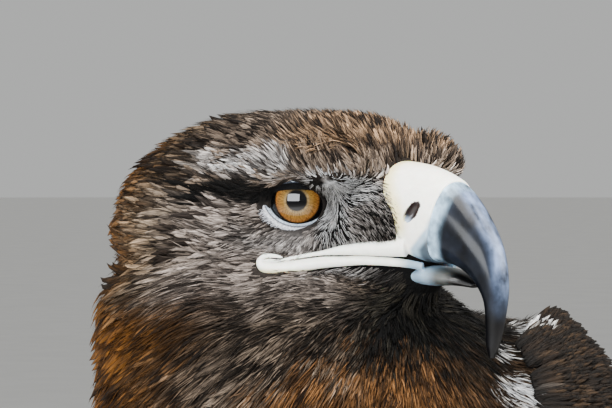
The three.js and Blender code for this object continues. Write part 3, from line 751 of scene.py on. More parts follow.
def new_finish(name, roughness, specular=0.5, coat=0.0, coat_roughness=0.03, sheen=0.0,
               subsurface=0.0):
    finish = bpy.data.materials.new(name)
    finish.use_nodes = True
    tree = finish.node_tree
    shader = tree.nodes["Principled BSDF"]
    for key, value in (("Roughness", roughness), ("Specular IOR Level", specular),
                       ("Coat Weight", coat), ("Coat Roughness", coat_roughness),
                       ("Sheen Weight", sheen), ("Sheen Roughness", 0.4),
                       ("Subsurface Weight", subsurface), ("Subsurface Scale", 0.004)):
        shader.inputs[key].default_value = value
    return finish, tree, shader


def grained(tree, source, scale, stretch, low, high, detail=3.0):
    """A noise stretched along one way and turned into a number from low to high."""
    mapping = node(tree, "ShaderNodeMapping", {"Scale": stretch})
    noise = node(tree, "ShaderNodeTexNoise", {"Scale": scale, "Detail": detail})
    spread = node(tree, "ShaderNodeMapRange", {"From Min": 0.3, "From Max": 0.7,
                                               "To Min": low, "To Max": high})
    tree.links.new(source, mapping.inputs["Vector"])
    tree.links.new(mapping.outputs["Vector"], noise.inputs["Vector"])
    tree.links.new(noise.outputs["Fac"], spread.inputs["Value"])
    return spread.outputs["Result"]


def times(tree, colour, factor):
    """A colour made lighter or darker by a number."""
    scaled = node(tree, "ShaderNodeVectorMath", operation="SCALE")
    tree.links.new(colour, scaled.inputs[0])
    tree.links.new(factor, scaled.inputs["Scale"])
    return scaled.outputs["Vector"]


def bumped(tree, shader, height, distance):
    bump = node(tree, "ShaderNodeBump", {"Distance": distance, "Strength": 1.0})
    tree.links.new(height, bump.inputs["Height"])
    tree.links.new(bump.outputs["Normal"], shader.inputs["Normal"])


def plumage_finish(name, across, along, low, high, roughness=0.6, distance=0.0003):
    """Feathers: the points' own colour, darkened and lightened in fine streaks."""
    finish, tree, shader = new_finish(name, roughness, specular=0.06, sheen=0.01)
    tint = node(tree, "ShaderNodeVertexColor", layer_name="Tint")
    vane = node(tree, "ShaderNodeUVMap", uv_map="Vane")
    streak = grained(tree, vane.outputs["UV"], 1.0, (across, along, 1), low, high)
    tree.links.new(times(tree, tint.outputs["Color"], streak), shader.inputs["Base Color"])
    rough = grained(tree, vane.outputs["UV"], 1.0, (across / 2, along / 2, 1),
                    roughness - 0.12, roughness + 0.12)
    tree.links.new(rough, shader.inputs["Roughness"])
    bumped(tree, shader, streak, distance)
    return finish


def solid_finish(name, grains, distance, roughness, colour=None, **looks):
    """A colour, or else the points' own, under grains of noise; the last grain is raised."""
    finish, tree, shader = new_finish(name, roughness, **looks)
    if colour is None:
        shade = node(tree, "ShaderNodeVertexColor", layer_name="Tint").outputs["Color"]
    else:
        flat = node(tree, "ShaderNodeRGB")
        flat.outputs[0].default_value = (*colour, 1)
        shade = flat.outputs[0]
    place = node(tree, "ShaderNodeTexCoord").outputs["Object"]
    for grain in grains:
        height = grained(tree, place, *grain)
        shade = times(tree, shade, height)
    tree.links.new(shade, shader.inputs["Base Color"])
    if distance:
        bumped(tree, shader, height, distance)
    return finish


EVEN = (1, 1, 1)                                  # a noise that isn't stretched
FINE = plumage_finish("fine_plumage", 26, 2.2, 0.25, 1.7)
SOFT = plumage_finish("soft_plumage", 16, 1.6, 0.4, 1.5)
VANED = plumage_finish("vaned_plumage", 1.6, 14, 0.72, 1.28, distance=0.00025)
BRISTLY = plumage_finish("bristles", 6, 1.2, 0.85, 1.15, roughness=0.55)
skin_finish = solid_finish("skin_under_plumage", [(900, EVEN, 0.6, 1.3)], 0.0004, 0.8,
                           specular=0.08)
print("Finishes for feathers and skin are ready")

# %% [markdown]
# ## The markings
# A golden eagle is not one brown. The crown is dark with paler streaks, a pale brow runs
# above the eye over a painted black shadow, the lores are pale bristles over black, the cheek
# is grey-brown, the nape and the tips of its hackles turn golden, and the throat is nearly
# black, its own dark feathers darkened further by painted shade under the bill. Each feather
# asks for its colour by its place, with a chance draw, so that pale and dark feathers lie side
# by side, and the skin below asks the same question before it is darkened as painted shade.

# %% Colours of the plumage
DARK, INK = tone(40, 32, 27), tone(6, 6, 6)
CROWN_PALE, FOREHEAD = tone(196, 176, 158), tone(206, 172, 138)
BROW, ASH = tone(238, 232, 228), tone(150, 142, 138)
CHEEK, CHEEK_PALE = tone(84, 74, 68), tone(206, 192, 182)
NAPE, GOLD = tone(66, 48, 30), tone(196, 138, 66)
NECK, NECK_PALE = tone(36, 29, 23), tone(178, 160, 142)
THROAT, THROAT_PALE = tone(9, 8, 7), tone(118, 112, 98)
BREAST, BREAST_DARK = tone(184, 136, 88), tone(44, 32, 22)
BELLY, BELLY_PALE = tone(50, 39, 31), tone(122, 98, 74)
BACK, BACK_EDGE = tone(66, 52, 40), tone(128, 104, 78)
WHITE = tone(250, 248, 244)
QUILL, QUILL_EDGE = tone(48, 39, 33), tone(96, 80, 64)
BUFF = tone(150, 122, 88)
STREAKS_WAY = np.array([0.743, 0.669, 0])         # across the view of the neck
WHITE_SPOTS = [((58, -38, 575), 8), ((64, -32, 577), 7), ((65, -60, 572), 4),
               ((74, -64, 559), 7), ((84, -62, 553), 8)]


def whitened(p, base, tip, odd):
    """The white patches over the shoulders, alike on both sides."""
    for place, radius in WHITE_SPOTS:
        q = np.abs(p * [1, 0, 0]) + p * [0, 1, 1] - np.array(place)
        near = 1 - ramp(np.linalg.norm(q, axis=1), radius * 0.7, radius * 1.15)
        near = near * (odd < 0.5) * 0.9
        base, tip = mix(base, WHITE * 1.5, near), mix(tip, WHITE * 1.5, near)
    return base, tip


def spot(a, b, middle, size):
    """1 in the middle of a soft round spot on the plane of a and b, and fading round it."""
    return np.exp(-((a - middle[0]) / size[0]) ** 2 - ((b - middle[1]) / size[1]) ** 2)


def deepened(colour, share=np.array(0.6), power=1.22):
    """Plumage is darker and richer than its chips of colour look side by side."""
    return np.clip(colour, 0, 1) ** power * share[..., None]


def same_draw(count):
    """What the skin under the feathers gets instead of chance."""
    return np.full(count, 0.4)


def markings(p, rng=None, lock=None):
    """Base and tip colour of a feather rooted at p. Without draws, the colour between."""
    count = len(p)
    draw = rng.random if rng is not None else same_draw
    light, gold, odd = draw(count) ** 1.7, draw(count), draw(count)
    if lock is not None:
        shared = rng.random((2, lock.max() + 1))[:, lock]
        light = 0.45 * light + 0.55 * shared[0] ** 1.5
        gold = 0.4 * gold + 0.6 * shared[1]
    light = ramp(light, 0.03, 0.78) if rng is not None else light
    q, _ = in_head(p)
    x, y, z = q.T
    along, up, out = from_eye(q)
    far = np.linalg.norm(p - BILL_SOURCE, axis=1)
    base = mix(DARK, CROWN_PALE, light ** 1.35 * (0.6 + 0.3 * ramp(x, -30, 0)))
    base = mix(base, mix(DARK, FOREHEAD, light ** 1.7), ramp(x, -14, 6) * ramp(z, 12, 18) * 0.9)
    pale_brow = band(x, -31, 2, 6) * band(z, 9.5, 16, 3) * ramp(y, 16, 24) * ramp(gold, 0.2, 0.5)
    base = mix(base, mix(ASH * 0.35, BROW * 1.15, light), pale_brow * 0.9)
    side = ramp(y, 12, 22) * (1 - ramp(z, -1, 5))
    base = mix(base, mix(CHEEK * 0.55, CHEEK_PALE, light * 0.9), side)
    under_eye = spot(along, up, (-2, -13.5), (15, 4.0)) * ramp(out, -4, 2)
    base = mix(base, mix(ASH * 0.4, BROW, light ** 0.5), under_eye * 0.85)
    shadow = band(x, -34, -9, 5) * band(z - 0.06 * (x + 22), 0.5, 5.0, 2.0) * ramp(y, 18, 26)
    base = mix(base, INK, shadow * 0.96)
    lores = lore_share(q)
    corner = np.maximum(spot(x, z, (17, 6), (6.0, 5.0)), spot(x, z, (11, -3), (4.0, 6.0)))
    fall = spot(x, z, (14, -12), (7.0, 5.0))
    pale = mix(mix(CHEEK, BROW * 0.8, light), BROW * 1.7, np.maximum(corner, 0.6 * fall))
    black = odd < 0.56 - 0.2 * corner - 0.12 * fall
    base = mix(base, np.where(black[:, None], INK * 1.3, pale), lores * 0.97)
    base = mix(base, BROW * 3.4, lores * corner * (odd > 0.46) * 0.92)
    base = mix(base, INK, lores * corner * (odd < 0.4) * 0.8)
    nape = ramp(-x, 42, 80) * (far < 200)
    base = mix(base, mix(NAPE * 0.6, GOLD * 0.6, light * 0.7), nape * ramp(z, -75, -20) * 0.9)
    neck = ramp(-z, 26, 40)
    streaks = np.exp(-((p @ STREAKS_WAY + 60) / 26) ** 2)
    base = mix(base, mix(NECK * 0.8, NECK_PALE,
                         light * (0.06 + 0.5 * streaks + 0.55 * ramp(-z, 42, 56))), neck)
    rear = neck * ramp(-x, 0, 50)
    base = mix(base, mix(NAPE * 0.7, GOLD * 0.75, light * 0.75), rear * 0.8)
    # The throat's own dark feathers, darkened further as painted shade under the bill.
    throat = 1 - ramp(np.linalg.norm((q - [44, 2, -48]) / [1, 1, 1.15], axis=1), 20, 36)
    base = mix(base, mix(THROAT, THROAT_PALE, 0.3 * light ** 3), throat * 0.98)
    s = nearest_spine(p)
    front = ramp(-(p[:, 1] - spine_line[s, 1]) / 60, -0.2, 0.5)
    start = 545 + 22 * ramp(np.abs(p[:, 0]), 8, 45)
    low = ramp(start - p[:, 2] + 26 * (gold - 0.5), -9, 9)
    base = mix(base, mix(BREAST_DARK, BREAST, 0.15 + 0.7 * light), low * front)
    base = mix(base, mix(BACK * 0.6, BACK * 1.4, light), low * (1 - front))
    belly = ramp(-p[:, 2], -470, -390)
    base = mix(base, mix(BELLY, BELLY_PALE, 0.2 + 0.5 * light), belly * front * 0.9)
    warm = np.maximum(nape, ramp(-x, 25, 60))[:, None] * np.array([0.02, 0.12, 0.32])
    base = base * (1 - warm)
    tip = base * 1.25
    tip = mix(tip, GOLD, np.maximum(nape, rear * 0.8) * ramp(gold, 0.3, 0.65) * 0.85)
    tip = mix(tip, BACK_EDGE, low * (1 - front) * 0.5)
    tip = mix(tip, BREAST * 1.1, low * front * 0.4 * light)
    base, tip = whitened(p, base, tip, odd)
    share = 0.62 + 0.38 * lores
    return deepened(base, share), deepened(tip, share)


def feather_colour(base, tip, shaft=0.62, edge=1.25, root=0.3, tip_from=0.4):
    """Colours over a feather: painted shade at the root, where it lies under its neighbours, its
    own tip, and a darker shaft.
    """
    def colour(t, a):
        c = mix(base[:, None], tip[:, None], ramp(t, tip_from, 1.0)[None].repeat(len(base), 0))
        across = shaft + (edge - shaft) * a ** 2
        # root sets how dark the root starts: painted shade under the overlapping feathers.
        return c * ((root + (1 - root) * ramp(t, 0, 0.35)) * across)[None, :, None]
    return colour


# %% Colour the skin
skin_base, _ = markings(skin_points)
# Painted shade: the skin is darkened to a quarter, as the gaps between the feathers over it would
# lie in shade.
paint(skin, skin_base * 0.25)                     # darker than the feathers over it
dressed(skin, skin_finish)
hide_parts("head", "neck", "torso", "tail",
            *[f"{part}_{side}" for part in ("wing", "quills", "thigh", "tarsus")
              for side in ("left", "right")])
print("Skin coloured at", len(skin_points), "points")

# %% [markdown]
# ## The coat of the head
# The head carries the smallest feathers: four millimetres wide on the nape, two at the brow
# and the cheek, and mere bristles in front of the eye. A layer of short pointed feathers
# covers the skin, and single strands over it break up their edges, as loose barbs do.

# %% Where the head's feathers may grow
UPPER_BILL = np.array([                           # ridge x, z, underside x, z, half width
    [12, 15, 12, -18.6, 17], [27, 14.2, 27, -19.4, 15], [40, 12, 40, -20.2, 12.6],
    [52, 6.6, 50, -21.2, 10.6], [62.4, -4.6, 56, -23.6, 8.8], [68.8, -16, 60.5, -27.4, 7],
    [71.2, -29, 64, -33.5, 5.2], [70.1, -41, 64.3, -42, 3.6], [68.3, -49.0, 64.1, -49.4, 2.3],
    [66.5, -53.2, 64.7, -52.9, 1.0]], float)
LOWER_BILL = np.array([
    [8, -20.6, 8, -30.4, 15], [26, -21, 26, -30, 12.4], [42, -21.8, 42, -28.8, 10],
    [54, -24.4, 53, -28.6, 7.4], [59.6, -27.6, 58, -29.2, 2.6]], float)
LIP_BAND = np.array([                             # x, lower and upper edge of the lips
    [-15, -24.4, -18.8], [-10, -25.4, -18.4], [-5, -25.0, -18.7], [7, -22.8, -17.3],
    [19, -21.9, -14.4], [33, -22.2, -12.4]])


def bare(q):
    """1 where a feather's root would stand in the bill, the lips or the lids."""
    x, y, z = q.T
    wide = np.interp(x, UPPER_BILL[:4, 0], UPPER_BILL[:4, 4])
    top = np.interp(x, UPPER_BILL[:4, 0], UPPER_BILL[:4, 1])
    bill = ((y / wide) ** 2.5 + ((z + 3) / (top + 3.5)) ** 2 < 0.95) & (x > 20) & (z > -21)
    beyond = (x > 33 - 0.35 * np.clip(z, -3, 20)) & (z > -21)
    low, high = (np.interp(x, LIP_BAND[:, 0], LIP_BAND[:, k]) for k in (1, 2))
    lips = (z > low + 0.5) & (z < high - 0.7) & (x > -12.6) & (y > 8)
    mouth = ((x > 6) & (z < -16) & (z > -22) & (y < 14)) | ((x > 37) & (z < -16) & (z > -29))
    along, up, out = from_eye(q)
    eye = (np.hypot(along / np.where(along > 0, 10.6, 12.4),
                    up / np.where(up > 0, 7.2, 11.4)) < 1) & (out > 0)
    return bill | beyond | lips | mouth | eye


HEAD_PARTS = of_parts("head")
face_q, _ = in_head(centres)
far_face = np.linalg.norm(centres - BILL_SOURCE, axis=1)
head_skin = HEAD_PARTS & ~bare(face_q)
lore_faces = lore_share(face_q)
ring_faces = np.hypot(*from_eye(face_q)[:2])


def same(value):
    """One length, half width or lift for every feather of a tract."""
    return lambda p, q, far: np.full(len(p), value)


def head_length(p, q, far):
    """Feathers grow longer away from the bill and the eye."""
    along, up, _ = from_eye(q)
    size = 6.5 + 9 * ramp(-q[:, 0], -5, 55) + 6 * ramp(-q[:, 2], 24, 45)
    near_eye = 1 - ramp(np.hypot(along, up), 12, 24)
    return size * (1 - 0.5 * near_eye * ramp(q[:, 1], 12, 20) * (1 - 0.7 * ramp(up, 6, 10)))


def gathered(line, each, pull, rng):
    """Draws the tips of neighbours together into locks, and gives each feather its lock."""
    middle = rng.choice(len(line), max(1, len(line) // each), replace=False)
    tree = nearest_of(line[middle, 0])
    lock = np.array([tree.find(p)[1] for p in line[:, 0].tolist()])
    share = pull * np.linspace(0, 1, line.shape[1])[None, :, None] ** 1.3
    return line + (line[middle[lock]] - line) * share, lock


def coat(name, mask, density, seed, length, half, lift, outline, section, finish, unwrap,
         slot, wander=0.14, locks=None, **more):
    """Sows and lays one tract of feathers, and gives it its finish."""
    p, n, rng = sow(mask, density, seed)
    far = np.linalg.norm(p - BILL_SOURCE, axis=1)
    q, _ = in_head(p)
    size = length(p, q, far) * rng.uniform(0.8, 1.2, len(p))
    wide = half(p, q, far) * rng.uniform(0.8, 1.2, len(p))
    rise = lift(p, q, far) * rng.uniform(0.6, 1.4, len(p))
    ways = swing(on_skin(lie(p), n), n, rng.normal(0, wander, len(p)))
    line, ups = over_skin(p, n, ways, size, places_of(outline))
    lock = None
    if locks:
        line, lock = gathered(line, *locks, rng)
    base, tip = markings(p, rng, lock)
    piece = plumes(name, line, ups, wide, rise, outline, section, feather_colour(base, tip),
                   unwrap(p), rng, **more)
    dressed(piece, finish)


def per(length, half, cover, filled=0.65):
    """Feathers per square millimetre that cover the skin so many times over."""
    return cover / (length * 2 * half * filled)


# %% Crown, cheeks and nape
head_cover = head_skin | (of_parts("trunk") & (far_face < 104) & ~bare(face_q))
face_len = head_length(0, face_q, far_face)


def head_half(p, q, far):
    """Slender near the eye, broader towards the nape."""
    along, up, _ = from_eye(q)
    near_eye = 1 - ramp(np.hypot(along, up), 16, 30)
    return (0.8 + 1.35 * ramp(-q[:, 0], -5, 60)) * (1 - 0.42 * near_eye)


def head_lift(extra):
    """Crown and nape stand fuller, most of all between the crown and the brow."""
    def lift(p, q, far):
        x, y, z = q.T
        front = ramp(x, -25, -5) * ramp(z, 8, 16)
        shoulder = ramp(y, 12, 20) * ramp(z, 9, 15) * band(x, -6, 18, 8)
        return 1.4 + extra + 1.5 * ramp(-x, 10, 70) + 1.2 * front + 3.0 * shoulder
    return lift


crown_faces = face_q[:, 2] > 3
for name, tract, cover, seed in (("crown", crown_faces, 5.0, 101),
                                 ("cheeks", ~crown_faces, 4.2, 121)):
    tract = tract & head_cover & (lore_faces < 0.5)
    coat("coat_" + name, tract, per(face_len, head_half(0, face_q, far_face), cover), seed,
         head_length, head_half, head_lift(0),
         HACKLE, SLIM, FINE, head_unwrap, "dark_feather", ragged=0.25, locks=(7, 0.4))
    coat(f"coat_{name}_barbs", tract, per(face_len, 0.3, 1.8), seed + 1,
         lambda p, q, far: head_length(p, q, far) * 1.1,
         lambda p, q, far: np.full(len(p), 0.2 + 0.1 * ramp(-q[:, 0], 0, 60)), head_lift(0.5),
         STRAND, SLIM, FINE, head_unwrap, "dark_feather", wander=0.2, locks=(14, 0.45))

# %% Lores, brow and the short bristles round the eye
coat("coat_lores", head_skin & (lore_faces > 0.15), np.full(len(centres), 5.6), 103,
     lambda p, q, far: 4.4 + 2.0 * ramp(-q[:, 2], 8, 16), same(0.155), same(1.1),
     BRISTLE, SLIM, BRISTLY, head_unwrap, "dark_feather", wander=0.15, locks=(9, 0.4))
coat("coat_eye_ring", head_skin & (ring_faces < 21) & (face_q[:, 1] > 14) & (lore_faces < 0.5),
     2.6 * (1 - ramp(ring_faces, 16, 21)), 111, same(3.8), same(0.17), same(0.9),
     BRISTLE, SLIM, BRISTLY, head_unwrap, "dark_feather", wander=0.16, locks=(7, 0.35))

# %% Throat and chin
coat("coat_throat", (HEAD_PARTS | of_parts("trunk")) & ~bare(face_q)
     & (face_q[:, 2] < -22) & (face_q[:, 0] > -60) & (far_face < 120),
     0.6 * ramp(-face_q[:, 2], 22, 30) * ramp(face_q[:, 0], -60, -35), 104,
     lambda p, q, far: 11 + 8 * ramp(far, 30, 80), same(0.36),
     lambda p, q, far: 1.8 + 1.8 * ramp(far, 30, 80),
     STRAND, SLIM, FINE, head_unwrap, "dark_feather", wander=0.16, locks=(16, 0.5))

# %% [markdown]
# ## Neck, breast and back
# Down the neck the feathers lengthen into pointed hackles that part into locks, and below
# it they widen into the rounded, overlapping feathers of the breast and the back. Both are
# walked over the skin, so that long ones bend round the body.

# %% Hackles of the neck
neck_line = column_unwrap(TRUNK)
neck_skin = (of_parts("trunk") | HEAD_PARTS) & ~bare(face_q)
neck_zone = ramp(far_face, 62, 92) * ramp(centres[:, 2], 470, 500)


def neck_length(p, q, far):
    return 17 + 17 * ramp(far, 70, 150)


def neck_half(p, q, far):
    return 1.6 + 1.7 * ramp(far, 70, 160)


coat("coat_neck", neck_skin,
     neck_zone * per(neck_length(0, 0, far_face), neck_half(0, 0, far_face), 5.0), 105,
     neck_length, neck_half, lambda p, q, far: 3.0 + 2.6 * ramp(far, 70, 140),
     HACKLE, SLIM, FINE, neck_line, "gold_feather", ragged=0.2, curl=0.1, locks=(6, 0.4))
coat("coat_neck_barbs", neck_skin, neck_zone * 0.22, 106,
     neck_length, same(0.4), lambda p, q, far: 3.2 + 2.6 * ramp(far, 70, 140),
     STRAND, SLIM, FINE, neck_line, "gold_feather", wander=0.16, locks=(18, 0.45))

# %% Rounded feathers of the body
trunk_skin = of_parts("trunk", "rump")
body_zone = (1 - ramp(centres[:, 2], 505, 530)) * ramp(far_face, 100, 130)


def body_length(p, q, far):
    return 38 + 12 * ramp(far, 120, 260)


coat("coat_body", trunk_skin, body_zone * per(44, 9.5, 5.2), 107,
     body_length, lambda p, q, far: 7.5 + 3.5 * ramp(far, 120, 240), same(5.0),
     CONTOUR, SLIM, VANED, neck_line, "body_feather", ragged=0.08, barb=1.1)
coat("coat_body_barbs", trunk_skin, body_zone * 0.03, 108,
     body_length, same(0.8), same(6.0),
     STRAND, SLIM, SOFT, neck_line, "body_feather", wander=0.2)

# %% Trousers and shanks
thigh_skin = of_parts("thigh_left", "thigh_right")
shank_skin = of_parts("shank_left", "shank_right")
leg_line = column_unwrap(THIGH)
coat("coat_thighs", thigh_skin, np.full(len(centres), per(36, 5.5, 4.0)), 109,
     lambda p, q, far: 24 + 16 * ramp(p[:, 2], 120, 220),
     lambda p, q, far: 3.5 + 2.6 * ramp(p[:, 2], 120, 220),
     lambda p, q, far: 3.5 + 2 * ramp(p[:, 2], 120, 220),
     CONTOUR, SLIM, VANED, leg_line, "gold_feather", ragged=0.1)
coat("coat_shanks", shank_skin & (centres[:, 2] > 17),
     np.full(len(centres), per(17, 2.4, 4.5)), 110,
     lambda p, q, far: 13 + 5 * ramp(p[:, 2], 30, 80), same(2.3), same(2.4),
     HACKLE, SLIM, SOFT, leg_line, "gold_feather", ragged=0.2)

# %% [markdown]
# ## Wings and tail
# A folded wing is built as it folds: small coverts over larger ones, over the greater
# coverts, over the flight feathers, each tier sliding under the one before it. Their rows
# are reckoned on the wing's own bowed sheet, so the vanes lie true along it.

# %% Vanes laid on the wing's sheet
LONG_VANE = ((0.0, 0), (0.04, 0.5), (0.12, 0.8), (0.24, 0.95), (0.38, 1.0), (0.52, 1.0),
             (0.66, 0.97), (0.78, 0.9), (0.88, 0.76), (0.95, 0.52), (0.985, 0.28), (1.0, 0))
wing_rng = np.random.default_rng(301)


def tier(start, length, first, last, count, half, lift, fan=0.03):
    """A row of vanes across the wing: place of root and tip, half width and lift."""
    t = np.linspace(first, last, count)
    j = wing_rng.uniform(-1, 1, (4, count))
    long = length * (1 + 0.08 * j[0])
    u0 = start + 0.006 * j[1]
    return np.stack([u0, t, np.minimum(u0 + long, 1), np.clip(t - fan * (1 - 2 * t), 0.01, 0.99),
                     half * (1 + 0.1 * j[2]), lift * (1 + 0.15 * j[3])], 1)


def wing_lines(rows, side, stations):
    """The lines of a tier's vanes over the wing's sheet, and their normals."""
    u0, t0, u1, t1 = (rows[:, k][:, None] for k in range(4))
    u, t = u0 + (u1 - u0) * stations, t0 + (t1 - t0) * stations
    place, normal = wing_point(u, t, 0.0)
    shape = (len(rows), len(stations), 3)
    return both_sides(place, side).reshape(shape), both_sides(normal, side).reshape(shape)


def wing_unwrap(rows):
    return np.stack([0.02 + 0.96 * rows[:, 0], 0.02 + 0.96 * rows[:, 1]], 1)


def wing_coat(name, tiers, side, outline, section, base, tip, slot, finish=VANED, **shade):
    """Lays the rows of vanes on one wing, and gives them their finish."""
    rows = np.concatenate(tiers)
    rng = np.random.default_rng(400 + len(rows))
    line, ups = wing_lines(rows, side, places_of(outline))
    light, odd = rng.random((2, len(rows)))
    bases = mix(base * 0.2, base * 0.6, light ** 2)
    tips = mix(bases, tip, 0.03 + 0.5 * rng.random(len(rows)) ** 3)
    if len(rows) > 1000:                          # the small coverts over the shoulder
        bases, tips = whitened(line[:, len(outline) // 2], bases, tips, odd)
    bases, tips = deepened(bases), deepened(tips)
    piece = plumes(name, line, ups, rows[:, 4], rows[:, 5], outline, section,
                   feather_colour(bases, tips, **shade), wing_unwrap(rows), rng,
                   sink=2.0, ragged=0.06, barb=1.1)
    dressed(piece, finish)


def sown(first, last, count, length, half, lift, seed):
    """Small coverts sown evenly over the wing between two places along it."""
    rng = np.random.default_rng(seed)
    u = first + (last - first) * (np.arange(count) + rng.random(count)) / count
    t = 0.02 + 0.95 * rng.random(count)
    j = rng.uniform(-1, 1, (4, count))
    return np.stack([u, t, u + length * (1 + 0.15 * j[0]),
                     np.clip(t - 0.02 * (1 - 2 * t) + 0.012 * j[3], 0.005, 0.995),
                     half * (1 + 0.2 * j[1]), lift * (1 + 0.25 * j[2])], 1)


quill_tiers = [
    np.array([[0.60 - 0.008 * k, 0.16 + 0.047 * k, 0.88 + 0.0145 * k, 0.19 + 0.047 * k,
               12.5, -2.6 + 0.85 * k] for k in range(9)]),
    tier(0.47, 0.30, 0.05, 0.80, 12, 13, 2.4),
    np.array([[0.49 + 0.01 * k, 0.74 + 0.05 * k, 0.79 + 0.012 * k, 0.72 + 0.045 * k,
               14.5, 4.5 + 0.8 * k] for k in range(5)]),
]
greater = [tier(0.30, 0.235, 0.03, 0.95, 20, 9.8, 4.6),
           tier(0.25, 0.2, 0.04, 0.95, 20, 9.2, 4.9)]
median = [tier(0.205 - 0.04 * k, 0.13, 0.03, 0.95, 20, 8.2, 5.0) for k in range(3)]
lesser = [sown(0.0, 0.19, 2600, 0.036, 1.8, 4.4, 331),
          sown(0.08, 0.23, 320, 0.06, 3.6, 4.6, 332)]
for side, name in SIDES:
    wing_coat(f"flight_feathers_{name}", quill_tiers, side, LONG_VANE, FULL,
              QUILL, QUILL_EDGE, "flight_feather", shaft=0.7, edge=1.15)
    wing_coat(f"greater_coverts_{name}", greater + median, side, LONG_VANE, FULL,
              BACK * 0.85, BACK_EDGE, "flight_feather", shaft=0.6, edge=1.25)
    wing_coat(f"lesser_coverts_{name}", lesser, side, HACKLE, SLIM,
              BACK * 0.95, BACK_EDGE, "flight_feather", finish=FINE, shaft=0.55, edge=1.3)

# %% Tail
RECTRICES, TAIL_LENGTH, TAIL_FAN = 12, 300.0, math.radians(9)
COVERTS = [(1, ((-14, 9, 62), (8, 8, 92), (30, 7, 120))),            # up: start, count, length
           (-1, ((-14, 8, 60), (6, 7, 86), (24, 6, 108)))]           # down


def tail_rows():
    """Root along and across, tip along and across, half width, lift, and which side it covers."""
    rows = []
    for i in range(RECTRICES):
        k = (i - 5.5) / 5.5
        reach = TAIL_LENGTH * (1 - 0.06 * k * k)
        out = TAIL_FAN * k
        rows.append([20, 9 * k, reach * math.cos(out), 12 * k + (reach - 60) * math.sin(out),
                     21.5, 4 - abs(2 * i - RECTRICES + 1.5), 0])
    return rows


def tail_cover_rows():
    """Coverts over and under the tail's root."""
    rng = np.random.default_rng(311)
    rows = []
    for up, tiers in COVERTS:
        for start, count, length in tiers:
            for k in np.linspace(-1, 1, count):
                rows.append([start + 5 * rng.random(), 17 * k,
                             length * (1 - 0.12 * k * k) + 6 * rng.random(), 31 * k,
                             12 + 3 * rng.random(), up * (7.0 - 0.02 * start), up])
    return rows


def tail_coat(name, rows, outline, base, tip, seed, **shade):
    """Lays the rows of vanes along the tail, and gives them their finish."""
    rows = np.array(rows, float)
    rng = np.random.default_rng(seed)
    stations = places_of(outline)
    a0, b0, a1, b1, half, low, cover = rows.T[:, :, None]
    a, b = a0 + (a1 - a0) * stations, b0 + (b1 - b0) * stations
    high = low + cover * (13 - 0.05 * np.clip(a, 0, 120)) * (1 - 0.35 * stations)
    lift = np.where(cover == 0, low, high)
    across = np.array([1.0, 0, 0])
    line = (TAIL_ROOT + a[..., None] * TAIL_ALONG + lift[..., None] * TAIL_UP
            + b[..., None] * across)
    facing = np.where(cover < 0, -1.0, 1.0)
    lean = 0.35 * b / 60
    ups = unit(TAIL_UP * facing[..., None] + across * lean[..., None])
    light = rng.random(len(rows))
    bases, tip = deepened(mix(base * 0.85, base * 1.2, light)), deepened(tip)
    bake = np.stack([0.1 + 0.8 * np.linspace(0, 1, len(rows)), np.full(len(rows), 0.5)], 1)
    piece = plumes(name, line, ups, half[:, 0], np.full(len(rows), 0.6), outline, FULL,
                   feather_colour(bases, np.tile(tip, (len(rows), 1)), **shade), bake, rng,
                   sink=0.4, ragged=0.04, barb=1.2)
    dressed(piece, VANED)


tail_coat("tail_feathers", tail_rows(), LONG_VANE, tone(104, 92, 82), QUILL * 0.7, 321,
          shaft=0.6, edge=1.15, root=0.8, tip_from=0.62)
tail_coat("tail_coverts", tail_cover_rows(), CONTOUR, BACK, BUFF, 322, shaft=0.6, edge=1.2)

# %% [markdown]
# ## Bill and cere
# The bill is a horn sheath over bone, narrow and high, whose ridge turns down into a hook.
# It is rolled from sections between a ridge line and an under line, then cut along the
# slanting edge where horn ends and the soft, waxy cere begins. The cere is a second copy,
# a little fuller, with the nostrils cut into it.

# %% Roll the two halves of the bill
def bill_rings(sections, square, steps, sides, grow=0.0, start=0.0, taper=0.0):
    """Rings between a ridge and an under line; square below 1 makes them boxier."""
    s = np.linspace(start, 1, steps)
    full = 0.35 + 0.65 * np.clip((s - start) / max(taper, 1e-6), 0, 1)
    ridge, under = curve(sections[:, :2], s), curve(sections[:, 2:4], s)
    half = (curve(sections[:, 4:], s)[:, 0] + grow) * full
    middle = (ridge + under) / 2
    up = (ridge - middle) * full[:, None]
    up *= 1 + grow / np.maximum(np.linalg.norm(up, axis=1, keepdims=True), 1e-6)
    turn = np.linspace(0, 2 * np.pi, sides, False)
    power = np.where(np.cos(turn) < 0, square, 1.0)
    c = np.sign(np.cos(turn)) * np.abs(np.cos(turn)) ** power
    w = np.sign(np.sin(turn)) * np.abs(np.sin(turn)) ** square
    xz = middle[:, None] + up[:, None] * c[None, :, None]
    return HEAD_AT + np.stack([xz[..., 0], half[:, None] * w, xz[..., 1]], -1)


def halved(piece, point, normal):
    """Cuts the piece and keeps the side that the normal leaves."""
    choose(piece)
    bpy.ops.object.mode_set(mode="EDIT")
    bpy.ops.mesh.select_all(action="SELECT")
    bpy.ops.mesh.bisect(plane_co=to_metres(point), plane_no=normal, use_fill=True,
                        clear_outer=True)
    bpy.ops.object.mode_set(mode="OBJECT")
    return piece


CERE_TOP, CERE_LOW = np.array([51.0, 0, 9.0]), np.array([43.0, 0, -24.0])
edge_normal = unit(np.cross([0, 1.0, 0], CERE_TOP - CERE_LOW))        # towards the tip
upper_bill = halved(rolled("bill_upper", bill_rings(UPPER_BILL, 0.8, 90, 56, start=0.1)),
                    HEAD_AT + CERE_TOP - edge_normal * 1.0, -edge_normal)
lower_bill = rolled("bill_lower", bill_rings(LOWER_BILL, 0.8, 60, 40, start=0.2, taper=0.3))
cere = halved(rolled("cere_skin", bill_rings(UPPER_BILL, 0.86, 90, 72, grow=0.55)),
              HEAD_AT + CERE_TOP, edge_normal)
print("Bill:", len(upper_bill.data.polygons), len(lower_bill.data.polygons), "faces")

